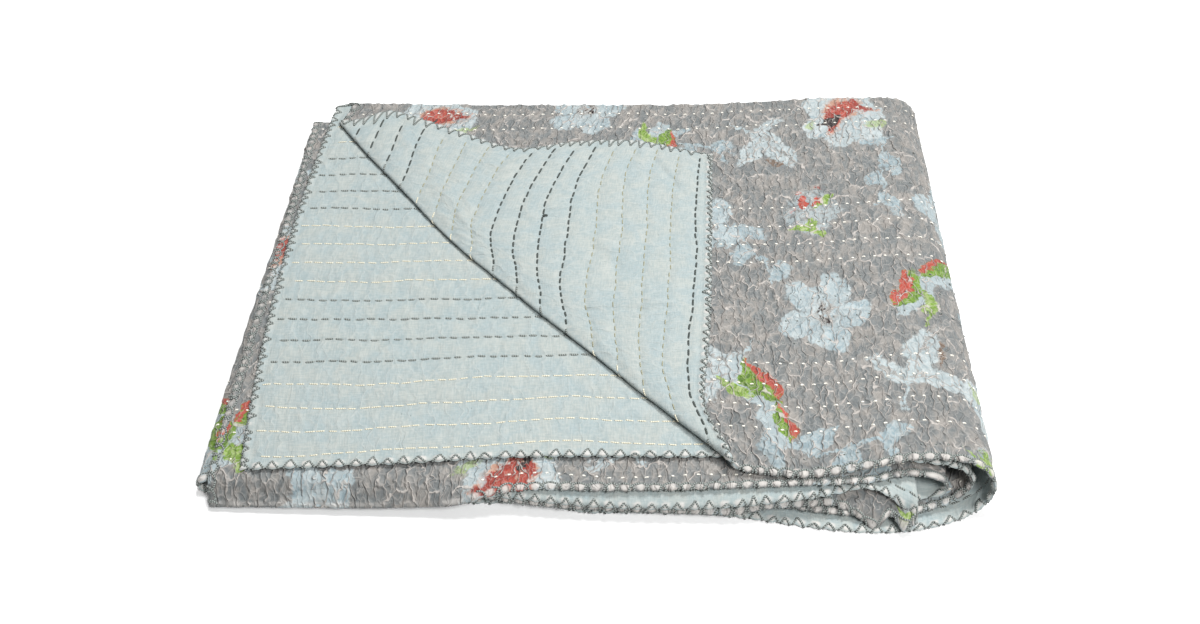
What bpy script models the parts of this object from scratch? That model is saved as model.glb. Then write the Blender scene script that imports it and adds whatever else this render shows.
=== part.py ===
"""A kantha quilt, folded into a stack of eight layers with one corner turned back.

The quilt is two plain cotton cloths of one size, held together by running stitches: a
printed face and a plain back.  Each is cut flat, creased, given its thickness and then
folded.  All sizes are in metres, +Z is up, and the stack rests on z = 0.

Flat cloth: s runs along the length (0 at the end that lies on top), t runs across it.
The quilt is folded once across its width, at the back, and then twice along its length:

    run A   s to the right   levels 1 and 2   top of the stack
    fold 1  outer fold on the right
    run B   s to the left    levels 8 and 7   bottom of the stack
    fold 2  the fold on the left
    run C   s to the right   levels 5 and 6
    fold 3  inner fold on the right
    run D   s to the left    levels 4 and 3

Level 1 is the top layer and level 8 lies on the floor.  The printed face is up on the odd
levels.  The free front corner of level 1 is turned back over the diagonal.
"""

import math

import bmesh
import bpy
import numpy as np

# ---------------------------------------------------------------- cloth
CLOTH = 0.00115             # thickness of each of the two cloths
CLOTH_GAP = 0.0003          # clearance between them
HALF_QUILT = CLOTH + CLOTH_GAP / 2

# ---------------------------------------------------------------- cut sizes, from the folds
HALF_NEAR = 0.400           # width of the half on levels 1, 8, 5 and 4
HALF_FAR = 0.420            # width of the half on levels 2, 7, 6 and 3
CREASE_RADIUS = 0.0026      # the crease across the width, at the back of the stack
CREASE = math.pi * CREASE_RADIUS
WIDTH = HALF_NEAR + CREASE + HALF_FAR

# Lengths of cloth in each run and fold, in the order in which they follow each other.
RUNS = {
    "run_a": 0.565,
    "fold_1": 0.080,
    "run_b": 0.592,
    "fold_2": 0.018,
    "run_c": 0.562,
    "fold_3": 0.022,
    "run_d": 0.556,
}
ENDS = dict(zip(RUNS, np.cumsum(list(RUNS.values()))))
STARTS = {name: ENDS[name] - length for name, length in RUNS.items()}
LENGTH = ENDS["run_d"]

# ---------------------------------------------------------------- the stack
# The run and the half of the width that each level is made of, from the top down.
LEVEL_TABLE = [
    ("run_a", "near"),
    ("run_a", "far"),
    ("run_d", "far"),
    ("run_d", "near"),
    ("run_c", "near"),
    ("run_c", "far"),
    ("run_b", "far"),
    ("run_b", "near"),
]
LEVELS = len(LEVEL_TABLE)
STACK_LEFT = -0.32          # the plan's span in X, over which a run's cloth is shared out
STACK_SPAN = 0.58
DROOP_RUN = 0.022           # how far in front of a lower edge the levels above come down
DROOP_END = (0.20, 0.26)    # the droop fades out between these two places in X
# Rise of one level along X: (x, rise)
RISE_TABLE = [(-0.34, 0.0043), (-0.10, 0.0044), (0.08, 0.0047), (0.20, 0.0060), (0.30, 0.0065)]

# Where the runs begin and end in X, each as (on the near half, on the far half).
LEFT_EDGE_A = (-0.321, -0.298)      # free left edges of levels 1 and 2, front and back
LEFT_EDGE_A_BACK = (-0.292, -0.298)
LEFT_BOW = 0.012            # level 2 bows out this far between its corners
LEFT_TUCK = 0.011           # level 1 is drawn in this far at its back corner
TUCK_REACH = 0.10           # share of the breadth over which that dies away
LEFT_EDGE_D = (-0.314, -0.325)      # free left edges of levels 4 and 3, front and back
LEFT_EDGE_D_BACK = (-0.312, -0.319)
FOLD_1_X = (0.271, 0.258)           # where fold 1 begins, at the front
FOLD_1_BACK_X = (0.272, 0.270)      # and at the back crease
FOLD_1_REACH = (0.030, 0.027)       # how far it bulges past that, front and back
FOLD_1_BACK_REACH = (0.026, 0.0225)
FOLD_2_X = (-0.329, -0.324)         # fold 2, levels 8 to 5 and 7 to 6
FOLD_2_BACK_X = (-0.318, -0.313)
FOLD_2_REACH = (0.0080, 0.0030)
FOLD_3_X = (0.234, 0.246)           # fold 3, levels 5 to 4 and 6 to 3
FOLD_3_BACK_X = (0.250, 0.250)
FOLD_3_REACH = (0.0048, 0.0180)
FOLD_3_BACK_REACH = (0.0045, 0.0095)

# Plan of the long edges, against the length of cloth:
# (s, y of the back crease, y of the near half's front edge, y of the far half's front edge)
A, F1, B, F2, C, F3, D = (STARTS[name] for name in RUNS)
EDGE_PLAN = [
    (A, 0.205, -0.186, -0.203),
    (A + 0.120, 0.206, -0.187, -0.194),
    (A + 0.220, 0.209, -0.187, -0.185),
    (A + 0.370, 0.213, -0.187, -0.180),
    (A + 0.410, 0.214, -0.193, -0.179),
    (A + 0.450, 0.215, -0.197, -0.179),
    (A + 0.500, 0.217, -0.190, -0.180),
    (A + 0.535, 0.217, -0.184, -0.182),
    (F1 + 0.005, 0.216, -0.186, -0.186),
    (F1 + 0.045, 0.203, -0.202, -0.195),
    (B, 0.192, -0.217, -0.208),
    (B + 0.200, 0.189, -0.217, -0.204),
    (F2, 0.180, -0.212, -0.206),
    (C, 0.180, -0.208, -0.206),
    (C + 0.300, 0.184, -0.219, -0.206),
    (C + 0.420, 0.187, -0.220, -0.203),
    (C + 0.500, 0.188, -0.222, -0.203),
    (C + 0.535, 0.189, -0.229, -0.204),
    (F3, 0.190, -0.228, -0.204),
    (D, 0.190, -0.220, -0.193),
    (D + 0.020, 0.190, -0.205, -0.193),
    (D + 0.040, 0.190, -0.202, -0.198),
    (D + 0.060, 0.190, -0.206, -0.200),
    (D + 0.100, 0.190, -0.212, -0.202),
    (D + 0.240, 0.188, -0.219, -0.209),
    (D + 0.320, 0.187, -0.215, -0.212),
    (D + 0.360, 0.187, -0.212, -0.221),
    (D + 0.400, 0.187, -0.209, -0.223),
    (LENGTH, 0.185, -0.200, -0.226),
]

# ---------------------------------------------------------------- the turned-back corner
TURN_START = (-0.2861, 0.1774)      # back end of the diagonal fold, in plan
TURN_END = (0.1131, -0.1985)        # front end of it
TURN_DRAW_IN = (1.09, 0.978)        # how much of its breadth the slack corner keeps, at each end
TURN_SLIP = (0.42, 0.094)           # how far it slips along the diagonal, per metre, at each end
TURN_SETTLE = 0.090                 # distance from the fold at which it lies flat again
BEND_SETTLE = 0.050                 # distance from it at which the fold's bend is mirrored
# Bend of the fold out towards the corner: (share of the diagonal from the back, shift)
BEND_TABLE = [(0.0, -0.0007), (0.08, 0.0053), (0.20, 0.0101), (0.35, 0.0170), (0.50, 0.0149),
              (0.70, 0.0100), (0.85, 0.0054), (1.0, -0.0006)]
# Radius of the fold: (share of the diagonal from the back, radius)
TURN_TABLE = [(0.0, 0.0020), (0.55, 0.0020), (0.80, 0.0024), (1.0, 0.0046)]
# Ripple of the turned corner's back edge: (share of the edge from the tip, shift in y)
RIPPLE_TABLE = [(0.0, -0.0003), (0.06, 0.0009), (0.14, 0.0206), (0.24, 0.0211), (0.36, 0.0064),
                (0.50, -0.0133), (0.64, 0.0007), (0.80, 0.0095), (1.0, -0.0079)]
# Bow of its right edge: (distance along the cloth from the corner, shift in x)
BOW_TABLE = [(0.0, -0.0112), (0.12, -0.0014), (0.22, -0.0009), (0.29, -0.0042), (0.34, -0.0101),
             (0.38, -0.0160), (0.42, 0.0011)]
RIPPLE_DEPTH = 0.070                # how far from the edge the ripple and the bow die away

# ---------------------------------------------------------------- origin
# The fold plan above is drawn from the middle of the top layer.  The part's origin is below
# the middle of the whole stack, which lies here in the plan.
STACK_MIDDLE = (-0.01825, -0.00370)

# ---------------------------------------------------------------- creases cut into the flat cloth
RUN_STEPS = {"run_a": 9, "fold_1": 9, "run_b": 5, "fold_2": 6, "run_c": 5, "fold_3": 6, "run_d": 9}
EXTRA_CREASES = (A + 0.410, A + 0.450, C + 0.500, C + 0.535, D + 0.020, D + 0.040, D + 0.340)
WIDTH_STEPS = (0.011, 0.024, 0.045, 0.130, 0.265)   # distances in from each long edge
CREASE_STEPS = 6
TURN_STEPS = 6
TURN_PARTS = (0.0, 0.13, 0.28, 0.44, 0.62, 0.80, 1.0)   # where straight parts of it meet
MERGE_DISTANCE = 1e-6
NORMAL_STEP = 0.0002                # distance over which the cloth's slope is measured

COLLECTION = "kantha_quilt"
PRINTED_COLOUR = (0.36, 0.34, 0.32, 1.0)
PLAIN_COLOUR = (0.56, 0.68, 0.67, 1.0)
COTTON_ROUGHNESS = 0.9


# ---------------------------------------------------------------- small helpers
def clear_scene():
    """Remove whatever the file holds."""
    for obj in list(bpy.data.objects):
        bpy.data.objects.remove(obj, do_unlink=True)


def smooth_step(x):
    """0 below 0, 1 above 1, and 3x^2 - 2x^3 between."""
    x = np.clip(x, 0.0, 1.0)
    return x * x * (3.0 - 2.0 * x)


def mix(a, b, share):
    return a + (b - a) * share


def smooth_table(x, rows, column):
    """A cubic through a table's rows, with the slope at each row taken from its neighbours."""
    xs = np.array([row[0] for row in rows])
    ys = np.array([row[column] for row in rows])
    slopes = np.gradient(ys, xs)
    x = np.clip(x, xs[0], xs[-1])
    i = np.clip(np.searchsorted(xs, x, side="right") - 1, 0, len(xs) - 2)
    span = xs[i + 1] - xs[i]
    u = (x - xs[i]) / span
    return ((2 * u**3 - 3 * u**2 + 1) * ys[i] + (u**3 - 2 * u**2 + u) * span * slopes[i]
            + (3 * u**2 - 2 * u**3) * ys[i + 1] + (u**3 - u**2) * span * slopes[i + 1])


# ---------------------------------------------------------------- heights
def level_front(level, x):
    """y of a level's front edge above a place x."""
    run, half = LEVEL_TABLE[level - 1]
    share = np.clip((x - STACK_LEFT) / STACK_SPAN, 0.0, 1.0)
    if run in ("run_b", "run_d"):
        share = 1.0 - share
    s = STARTS[run] + RUNS[run] * share
    return smooth_table(s, EDGE_PLAN, 2 if half == "near" else 3)


def level_heights(x, y):
    """Height of each level's middle surface: one rise for each level that lies below.

    In front of a lower level's edge its rise dies away, so the levels above droop over it.
    The droop dies out towards the folds on the right, where the stack stands up.
    """
    rise = smooth_table(x, RISE_TABLE, 1)
    droop = 1.0 - smooth_step((x - DROOP_END[0]) / (DROOP_END[1] - DROOP_END[0]))
    heights = [HALF_QUILT * np.ones_like(x)]
    for level in range(LEVELS - 1, 0, -1):
        below = level_front(level + 1, x)
        there = smooth_step((y - below + DROOP_RUN) / DROOP_RUN)
        share = 1.0 - droop * (1.0 - there)
        heights.append(heights[-1] + rise * share)
    return heights[::-1]


def height(level, x, y):
    """Height at a level that may lie between two whole ones."""
    levels = level_heights(x, y)
    index = np.clip(np.floor(level).astype(int), 1, LEVELS - 1)
    stacked = np.stack(levels)
    columns = np.arange(x.size)
    lower = stacked[index - 1, columns]
    upper = stacked[index, columns]
    return mix(lower, upper, level - index)


# ---------------------------------------------------------------- folding
def across(s, t):
    """Fold across the width: (y, far) with far 0 on the near half and 1 on the far half."""
    crease_y = smooth_table(s, EDGE_PLAN, 1)
    near_y = smooth_table(s, EDGE_PLAN, 2)
    far_y = smooth_table(s, EDGE_PLAN, 3)
    turn = np.clip((t - HALF_NEAR) / CREASE, 0.0, 1.0) * math.pi
    far = 0.5 - 0.5 * np.cos(turn)
    near_part = np.clip(HALF_NEAR - t, 0.0, None) / HALF_NEAR
    far_part = np.clip(t - HALF_NEAR - CREASE, 0.0, None) / HALF_FAR
    y = crease_y + CREASE_RADIUS * np.sin(turn)
    y = y + (near_y - crease_y) * near_part + (far_y - crease_y) * far_part
    forward = np.maximum(near_part, far_part)
    return y, far, forward


def between(front, back, far, forward):
    """A size that is given for the near and the far half, at the front and at the back."""
    return mix(mix(back[0], back[1], far), mix(front[0], front[1], far), smooth_step(forward))


def left_edge_a(far, forward):
    """x of the free left edge of levels 1 and 2."""
    edge = between(LEFT_EDGE_A, LEFT_EDGE_A_BACK, far, forward)
    edge = edge - LEFT_BOW * far * 4.0 * forward * (1.0 - forward)
    return edge + LEFT_TUCK * (1.0 - far) * (1.0 - smooth_step(forward / TUCK_REACH))


def along(s, far, forward):
    """Fold along the length: (x, level) of each place on the cloth.

    The runs hold their level.  Each fold is half a turn about the level midway between the
    two that it joins: 1 to 8, 8 to 5 and 5 to 4 on the near half, and 2 to 7, 7 to 6 and
    6 to 3 on the far half.
    """
    fold_1 = between(FOLD_1_X, FOLD_1_BACK_X, far, forward)
    fold_2 = between(FOLD_2_X, FOLD_2_BACK_X, far, forward)
    fold_3 = between(FOLD_3_X, FOLD_3_BACK_X, far, forward)
    reach_1 = between(FOLD_1_REACH, FOLD_1_BACK_REACH, far, forward)
    reach_2 = between(FOLD_2_REACH, FOLD_2_REACH, far, forward)
    reach_3 = between(FOLD_3_REACH, FOLD_3_BACK_REACH, far, forward)
    left_a = left_edge_a(far, forward)
    left_d = between(LEFT_EDGE_D, LEFT_EDGE_D_BACK, far, forward)

    def share(name):
        return np.clip((s - STARTS[name]) / RUNS[name], 0.0, 1.0)

    turn_1, turn_2, turn_3 = (share(name) * math.pi for name in ("fold_1", "fold_2", "fold_3"))
    x = np.select(
        [s <= ENDS["run_a"], s <= ENDS["fold_1"], s <= ENDS["run_b"], s <= ENDS["fold_2"],
         s <= ENDS["run_c"], s <= ENDS["fold_3"]],
        [mix(left_a, fold_1, share("run_a")),
         fold_1 + reach_1 * np.sin(turn_1),
         mix(fold_1, fold_2, share("run_b")),
         fold_2 - reach_2 * np.sin(turn_2),
         mix(fold_2, fold_3, share("run_c")),
         fold_3 + reach_3 * np.sin(turn_3)],
        mix(fold_3, left_d, share("run_d")))
    level = np.select(
        [s <= ENDS["run_a"], s <= ENDS["fold_1"], s <= ENDS["run_b"], s <= ENDS["fold_2"],
         s <= ENDS["run_c"], s <= ENDS["fold_3"]],
        [1.0 + far,
         4.5 - (3.5 - far) * np.cos(turn_1),
         8.0 - far,
         6.5 + (1.5 - far) * np.cos(turn_2),
         5.0 + far,
         4.5 + (0.5 + far) * np.cos(turn_3)],
        4.0 - far)
    return x, level


def turn_line():
    """The straight line between the diagonal's ends: start, direction, way out, and length."""
    start = np.array(TURN_START)
    run = np.array(TURN_END) - start
    length = np.linalg.norm(run)
    run = run / length
    return start, run, np.array([run[1], -run[0]]), length


def off_turn(x, y):
    """(share of the way along the diagonal, how far the fold bends out there, distance beyond it)."""
    start, run, out, length = turn_line()
    share = ((x - start[0]) * run[0] + (y - start[1]) * run[1]) / length
    bend = smooth_table(share, BEND_TABLE, 1)
    return share, bend, (x - start[0]) * out[0] + (y - start[1]) * out[1] - bend


def turn_corner(s, t, x, y, z):
    """Turn the free corner of level 1 back over the diagonal, and let it settle."""
    start, run, out, length = turn_line()
    share, bend, beyond = off_turn(x, y)
    turned = (s < ENDS["run_a"]) & (t < HALF_NEAR) & (beyond > 0.0)
    radius = smooth_table(share, TURN_TABLE, 1)
    angle = np.clip(beyond / radius, 0.0, math.pi)
    back = np.clip(beyond - math.pi * radius, 0.0, None)
    down = np.clip(share, 0.0, 1.0)
    new_along = share * length + back * mix(*TURN_SLIP, down)
    new_beyond = radius * np.sin(angle) - back * mix(*TURN_DRAW_IN, down)
    new_beyond = new_beyond + bend * (1.0 + smooth_step(back / BEND_SETTLE))
    ripple = smooth_table(1.0 - t / HALF_NEAR, RIPPLE_TABLE, 1)
    ripple = ripple * np.exp(-s / RIPPLE_DEPTH) * smooth_step(back / (RIPPLE_DEPTH / 2))
    bow = smooth_table(s, BOW_TABLE, 1)
    bow = bow * np.exp(-t / RIPPLE_DEPTH) * smooth_step(back / (RIPPLE_DEPTH / 2))
    new_x = start[0] + new_along * run[0] + new_beyond * out[0] + bow
    new_y = start[1] + new_along * run[1] + new_beyond * out[1] + ripple
    settled = mix(radius, TURN_TABLE[0][1], smooth_step(back / TURN_SETTLE))
    new_z = height(np.ones_like(x), new_x, new_y) + settled * (1.0 - np.cos(angle))
    return np.where(turned, new_x, x), np.where(turned, new_y, y), np.where(turned, new_z, z)


def middle_surface(s, t):
    """Where the quilt's middle surface lies once it is folded."""
    y, far, forward = across(s, t)
    x, level = along(s, far, forward)
    z = height(level, x, y)
    x, y, z = turn_corner(s, t, x, y, z)
    return np.stack([x - STACK_MIDDLE[0], y - STACK_MIDDLE[1], z], axis=1)


def fold(points):
    """Carry flat points (s, t, offset) to the folded quilt, offset along its outward normal."""
    s, t, offset = points.T
    ds = middle_surface(s + NORMAL_STEP, t) - middle_surface(s - NORMAL_STEP, t)
    dt = middle_surface(s, t + NORMAL_STEP) - middle_surface(s, t - NORMAL_STEP)
    normal = np.cross(ds, dt)
    normal /= np.linalg.norm(normal, axis=1)[:, None]
    return middle_surface(s, t) + normal * offset[:, None]


# ---------------------------------------------------------------- cutting
def crease_lines():
    """Lines across which the flat cloth is creased, each as (s, t, direction in s, in t)."""
    lines = []
    for name, steps in RUN_STEPS.items():
        for k in range(1, steps + 1):
            lines.append((STARTS[name] + RUNS[name] * k / steps, 0.0, 1.0, 0.0))
    for s in EXTRA_CREASES:
        lines.append((s, 0.0, 1.0, 0.0))
    for inset in WIDTH_STEPS:
        lines.append((0.0, inset, 0.0, 1.0))
        lines.append((0.0, WIDTH - inset, 0.0, 1.0))
    for k in range(CREASE_STEPS + 1):
        lines.append((0.0, HALF_NEAR + CREASE * k / CREASE_STEPS, 0.0, 1.0))
    return lines


def flat_of(x, y):
    """Flat place (s, t) of a plan place on level 1, settled by repeating the estimate."""
    s = 0.0
    for _ in range(10):
        crease_y = float(smooth_table(s, EDGE_PLAN, 1))
        near_y = float(smooth_table(s, EDGE_PLAN, 2))
        forward = (crease_y - y) / (crease_y - near_y)
        left = left_edge_a(0.0, forward)
        right = between(FOLD_1_X, FOLD_1_BACK_X, 0.0, forward)
        s = RUNS["run_a"] * (x - left) / (right - left)
    return s, HALF_NEAR * (1.0 - forward)


def crease_turn(bm):
    """Crease the top layer along the diagonal, where its corner is turned back.

    The bent fold is cut in straight parts.  The cloth is first cut across the fold wherever
    two of them meet, and then along the fold, part by part.
    """
    start, run, out, length = turn_line()

    def flat_place(share, k):
        radius = float(smooth_table(share, TURN_TABLE, 1))
        reach = float(smooth_table(share, BEND_TABLE, 1)) + math.pi * radius * k / TURN_STEPS
        return np.array(flat_of(*(start + run * length * share + out * reach)))

    def side_of(face, first, last):
        centre = face.calc_center_median()
        way = last - first
        return (centre.x - first[0]) * way[1] - (centre.y - first[1]) * way[0]

    def cut(faces, first, last):
        way = last - first
        edges = {edge for face in faces for edge in face.edges}
        verts = {vert for face in faces for vert in face.verts}
        bmesh.ops.bisect_plane(bm, geom=list(verts) + list(edges) + faces,
                               dist=MERGE_DISTANCE, plane_co=(first[0], first[1], 0.0),
                               plane_no=(way[1], -way[0], 0.0))

    def top_faces():
        centres = [(face, face.calc_center_median()) for face in bm.faces]
        return [face for face, at in centres if at.x < ENDS["run_a"] and at.y < HALF_NEAR]

    across_fold = [(flat_place(share, 0), flat_place(share, TURN_STEPS)) for share in TURN_PARTS]
    for first, last in across_fold[1:-1]:
        cut(top_faces(), first, last)
    for part in range(len(TURN_PARTS) - 1):
        for k in range(TURN_STEPS + 1):
            faces = top_faces()
            if part > 0:
                faces = [face for face in faces if side_of(face, *across_fold[part]) < 0.0]
            if part < len(TURN_PARTS) - 2:
                faces = [face for face in faces if side_of(face, *across_fold[part + 1]) > 0.0]
            cut(faces, flat_place(TURN_PARTS[part], k), flat_place(TURN_PARTS[part + 1], k))


def flat_cloth(low, high):
    """The cloth cut flat and creased, as a slab between two offsets from the middle surface."""
    bm = bmesh.new()
    bmesh.ops.create_grid(bm, x_segments=1, y_segments=1, size=0.5)
    bmesh.ops.scale(bm, vec=(LENGTH, WIDTH, 1.0), verts=bm.verts)
    bmesh.ops.translate(bm, vec=(LENGTH / 2, WIDTH / 2, 0.0), verts=bm.verts)
    for line_s, line_t, across_s, across_t in crease_lines():
        bmesh.ops.bisect_plane(bm, geom=bm.verts[:] + bm.edges[:] + bm.faces[:],
                               dist=MERGE_DISTANCE, plane_co=(line_s, line_t, 0.0),
                               plane_no=(across_s, across_t, 0.0))
    crease_turn(bm)
    bmesh.ops.triangulate(bm, faces=bm.faces[:])
    bmesh.ops.translate(bm, vec=(0.0, 0.0, low), verts=bm.verts)
    grown = bmesh.ops.extrude_face_region(bm, geom=bm.faces[:], use_keep_orig=True)
    upper = [item for item in grown["geom"] if isinstance(item, bmesh.types.BMVert)]
    bmesh.ops.translate(bm, vec=(0.0, 0.0, high - low), verts=upper)
    bmesh.ops.recalc_face_normals(bm, faces=bm.faces[:])
    bmesh.ops.triangulate(bm, faces=bm.faces[:])
    return bm


# ---------------------------------------------------------------- pieces
def cotton(name, colour):
    material = bpy.data.materials.new(name)
    material.use_nodes = True
    shader = material.node_tree.nodes["Principled BSDF"]
    shader.inputs["Base Color"].default_value = colour
    shader.inputs["Roughness"].default_value = COTTON_ROUGHNESS
    shader.inputs["Metallic"].default_value = 0.0
    return material


def panel(name, low, high, colour, collection):
    """One cloth of the quilt: cut and creased flat, given its thickness, then folded."""
    bm = flat_cloth(low, high)
    mesh = bpy.data.meshes.new(name)
    bm.to_mesh(mesh)
    bm.free()
    points = np.empty(len(mesh.vertices) * 3)
    mesh.vertices.foreach_get("co", points)
    mesh.vertices.foreach_set("co", fold(points.reshape(-1, 3)).ravel())
    mesh.update()
    mesh.materials.append(cotton(name + "_cotton", colour))
    obj = bpy.data.objects.new(name, mesh)
    collection.objects.link(obj)
    return obj


def main():
    clear_scene()
    collection = bpy.data.collections.new(COLLECTION)
    bpy.context.scene.collection.children.link(collection)
    panel("printed_panel", CLOTH_GAP / 2, HALF_QUILT, PRINTED_COLOUR, collection)
    panel("plain_panel", -HALF_QUILT, -CLOTH_GAP / 2, PLAIN_COLOUR, collection)


main()
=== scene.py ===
"""Looks of a kantha quilt, folded into a stack of eight layers with one corner turned back.

The quilt is two cotton cloths of one size, a printed face and a plain back, held together by
rows of running stitches and by criss-cross stitches over all four cut edges.  Both cloths and
all threads are worked out on the flat quilt and then carried to the folded one:

    s      length of cloth from the end that lies on top
    t      width of cloth from the long edge of the near half
    side   +1 for the printed face, -1 for the plain back

All sizes are in metres, +Z is up, and the stack rests on z = 0.
"""
import math

import bpy
import numpy as np
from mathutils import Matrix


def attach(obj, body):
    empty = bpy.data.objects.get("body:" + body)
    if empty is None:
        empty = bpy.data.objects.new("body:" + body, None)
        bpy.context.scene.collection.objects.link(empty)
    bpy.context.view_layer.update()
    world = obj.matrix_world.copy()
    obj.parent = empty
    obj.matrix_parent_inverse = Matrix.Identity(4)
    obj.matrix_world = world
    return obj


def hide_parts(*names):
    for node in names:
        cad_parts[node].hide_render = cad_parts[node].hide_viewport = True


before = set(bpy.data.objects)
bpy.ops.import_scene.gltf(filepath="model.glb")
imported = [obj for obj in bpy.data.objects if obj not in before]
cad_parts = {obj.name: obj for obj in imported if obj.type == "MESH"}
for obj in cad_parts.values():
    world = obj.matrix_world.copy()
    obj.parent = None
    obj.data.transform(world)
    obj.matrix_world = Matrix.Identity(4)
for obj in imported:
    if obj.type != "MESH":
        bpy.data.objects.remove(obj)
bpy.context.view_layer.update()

PRINTED, PLAIN = 1.0, -1.0

# ---------------------------------------------------------------- the fold, as the solids have it
HALF_QUILT = 0.0013         # half of the quilt's thickness, for the heights of the layers
HALF_NEAR = 0.400           # width of the half on levels 1, 8, 5 and 4
HALF_FAR = 0.420            # width of the half on levels 2, 7, 6 and 3
CREASE_RADIUS = 0.0026      # the crease across the width, at the back of the stack
CREASE = math.pi * CREASE_RADIUS
MID_CREASE = HALF_NEAR + CREASE / 2
WIDTH = HALF_NEAR + CREASE + HALF_FAR

# Lengths of cloth in each run and fold, in the order in which they follow each other.
RUNS = {"run_a": 0.565, "fold_1": 0.080, "run_b": 0.592, "fold_2": 0.018, "run_c": 0.562,
        "fold_3": 0.022, "run_d": 0.556}
ENDS = dict(zip(RUNS, np.cumsum(list(RUNS.values()))))
STARTS = {name: ENDS[name] - length for name, length in RUNS.items()}
A, F1, B, F2, C, F3, D = (STARTS[name] for name in RUNS)
END_A, LENGTH = ENDS["run_a"], ENDS["run_d"]

# The run and the half of the width that each level is made of, from the top down.
LEVELS = [("run_a", "near"), ("run_a", "far"), ("run_d", "far"), ("run_d", "near"),
          ("run_c", "near"), ("run_c", "far"), ("run_b", "far"), ("run_b", "near")]
STACK_LEFT = -0.32          # the plan's span in X, over which a run's cloth is shared out
STACK_SPAN = 0.58
DROOP_RUN = 0.022           # how far in front of a lower edge the levels above come down
DROOP_END = (0.20, 0.26)    # the droop fades out between these two places in X
# Rise of one level along X: (x, rise)
RISE_TABLE = [(-0.34, 0.0043), (-0.10, 0.0044), (0.08, 0.0047), (0.20, 0.0060), (0.30, 0.0065)]

# Where the runs begin and end in X, and how far the folds bulge past that:
# (on the near half, on the far half) at the front, and the same at the back crease.
LEFT_A = ((-0.321, -0.298), (-0.292, -0.298))       # free left edges of levels 1 and 2
LEFT_D = ((-0.314, -0.325), (-0.312, -0.319))       # free left edges of levels 4 and 3
FOLD_X = [((0.271, 0.258), (0.272, 0.270)), ((-0.329, -0.324), (-0.318, -0.313)),
          ((0.234, 0.246), (0.250, 0.250))]
FOLD_REACH = [((0.030, 0.027), (0.026, 0.0225)), ((0.0080, 0.0030), (0.0080, 0.0030)),
              ((0.0048, 0.0180), (0.0045, 0.0095))]
LEFT_BOW = 0.012            # level 2 bows out this far between its corners
LEFT_TUCK = 0.011           # level 1 is drawn in this far at its back corner
TUCK_REACH = 0.10           # share of the breadth over which that dies away

# Plan of the long edges, against the length of cloth:
# (s, y of the back crease, y of the near half's front edge, y of the far half's front edge)
EDGE_PLAN = [
    (A, 0.205, -0.186, -0.203), (A + 0.12, 0.206, -0.187, -0.194), (A + 0.22, 0.209, -0.187, -0.185),
    (A + 0.37, 0.213, -0.187, -0.18), (A + 0.41, 0.214, -0.193, -0.179),
    (A + 0.45, 0.215, -0.197, -0.179), (A + 0.5, 0.217, -0.19, -0.18), (A + 0.535, 0.217, -0.184, -0.182),
    (F1 + 0.005, 0.216, -0.186, -0.186), (F1 + 0.045, 0.203, -0.202, -0.195), (B, 0.192, -0.217, -0.208),
    (B + 0.2, 0.189, -0.217, -0.204), (F2, 0.18, -0.212, -0.206), (C, 0.18, -0.208, -0.206),
    (C + 0.3, 0.184, -0.219, -0.206), (C + 0.42, 0.187, -0.22, -0.203), (C + 0.5, 0.188, -0.222, -0.203),
    (C + 0.535, 0.189, -0.229, -0.204), (F3, 0.19, -0.228, -0.204), (D, 0.19, -0.22, -0.193),
    (D + 0.02, 0.19, -0.205, -0.193), (D + 0.04, 0.19, -0.202, -0.198), (D + 0.06, 0.19, -0.206, -0.2),
    (D + 0.1, 0.19, -0.212, -0.202), (D + 0.24, 0.188, -0.219, -0.209), (D + 0.32, 0.187, -0.215, -0.212),
    (D + 0.36, 0.187, -0.212, -0.221), (D + 0.4, 0.187, -0.209, -0.223), (LENGTH, 0.185, -0.2, -0.226),
]

# ---------------------------------------------------------------- the turned-back corner
TURN_START = np.array([-0.2861, 0.1774])            # back end of the diagonal fold, in plan
TURN_END = np.array([0.1131, -0.1985])              # front end of it
TURN_LENGTH = np.linalg.norm(TURN_END - TURN_START)
TURN_RUN = (TURN_END - TURN_START) / TURN_LENGTH    # direction along it
TURN_OUT = np.array([TURN_RUN[1], -TURN_RUN[0]])    # direction out towards the corner
TURN_DRAW_IN = (1.09, 0.978)        # how much of its breadth the slack corner keeps, at each end
TURN_SLIP = (0.42, 0.094)           # how far it slips along the diagonal, per metre, at each end
TURN_SETTLE = 0.090                 # distance from the fold at which it lies flat again
BEND_SETTLE = 0.050                 # distance from it at which the fold's bend is mirrored
# Bend of the fold out towards the corner: (share of the diagonal from the back, shift)
BEND_TABLE = [(0.0, -0.0007), (0.08, 0.0053), (0.20, 0.0101), (0.35, 0.0170), (0.50, 0.0149),
              (0.70, 0.0100), (0.85, 0.0054), (1.0, -0.0006)]
# Radius of the fold: (share of the diagonal from the back, radius)
RADIUS_TABLE = [(0.0, 0.0020), (0.55, 0.0020), (0.80, 0.0024), (1.0, 0.0046)]
# Ripple of the turned corner's back edge: (share of the edge from the tip, shift in y)
RIPPLE_TABLE = [(0.0, -0.0003), (0.06, 0.0009), (0.14, 0.0206), (0.24, 0.0211), (0.36, 0.0064),
                (0.50, -0.0133), (0.64, 0.0007), (0.80, 0.0095), (1.0, -0.0079)]
# Bow of its right edge: (distance along the cloth from the corner, shift in x)
BOW_TABLE = [(0.0, -0.0112), (0.12, -0.0014), (0.22, -0.0009), (0.29, -0.0042), (0.34, -0.0101),
             (0.38, -0.0160), (0.42, 0.0011)]
RIPPLE_DEPTH = 0.070                # how far from the edge the ripple and the bow die away

# The plan above is drawn from the middle of the top layer.  The part's origin is below the
# middle of the whole stack, which lies here in the plan.
STACK_MIDDLE = (-0.01825, -0.00370)


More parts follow.
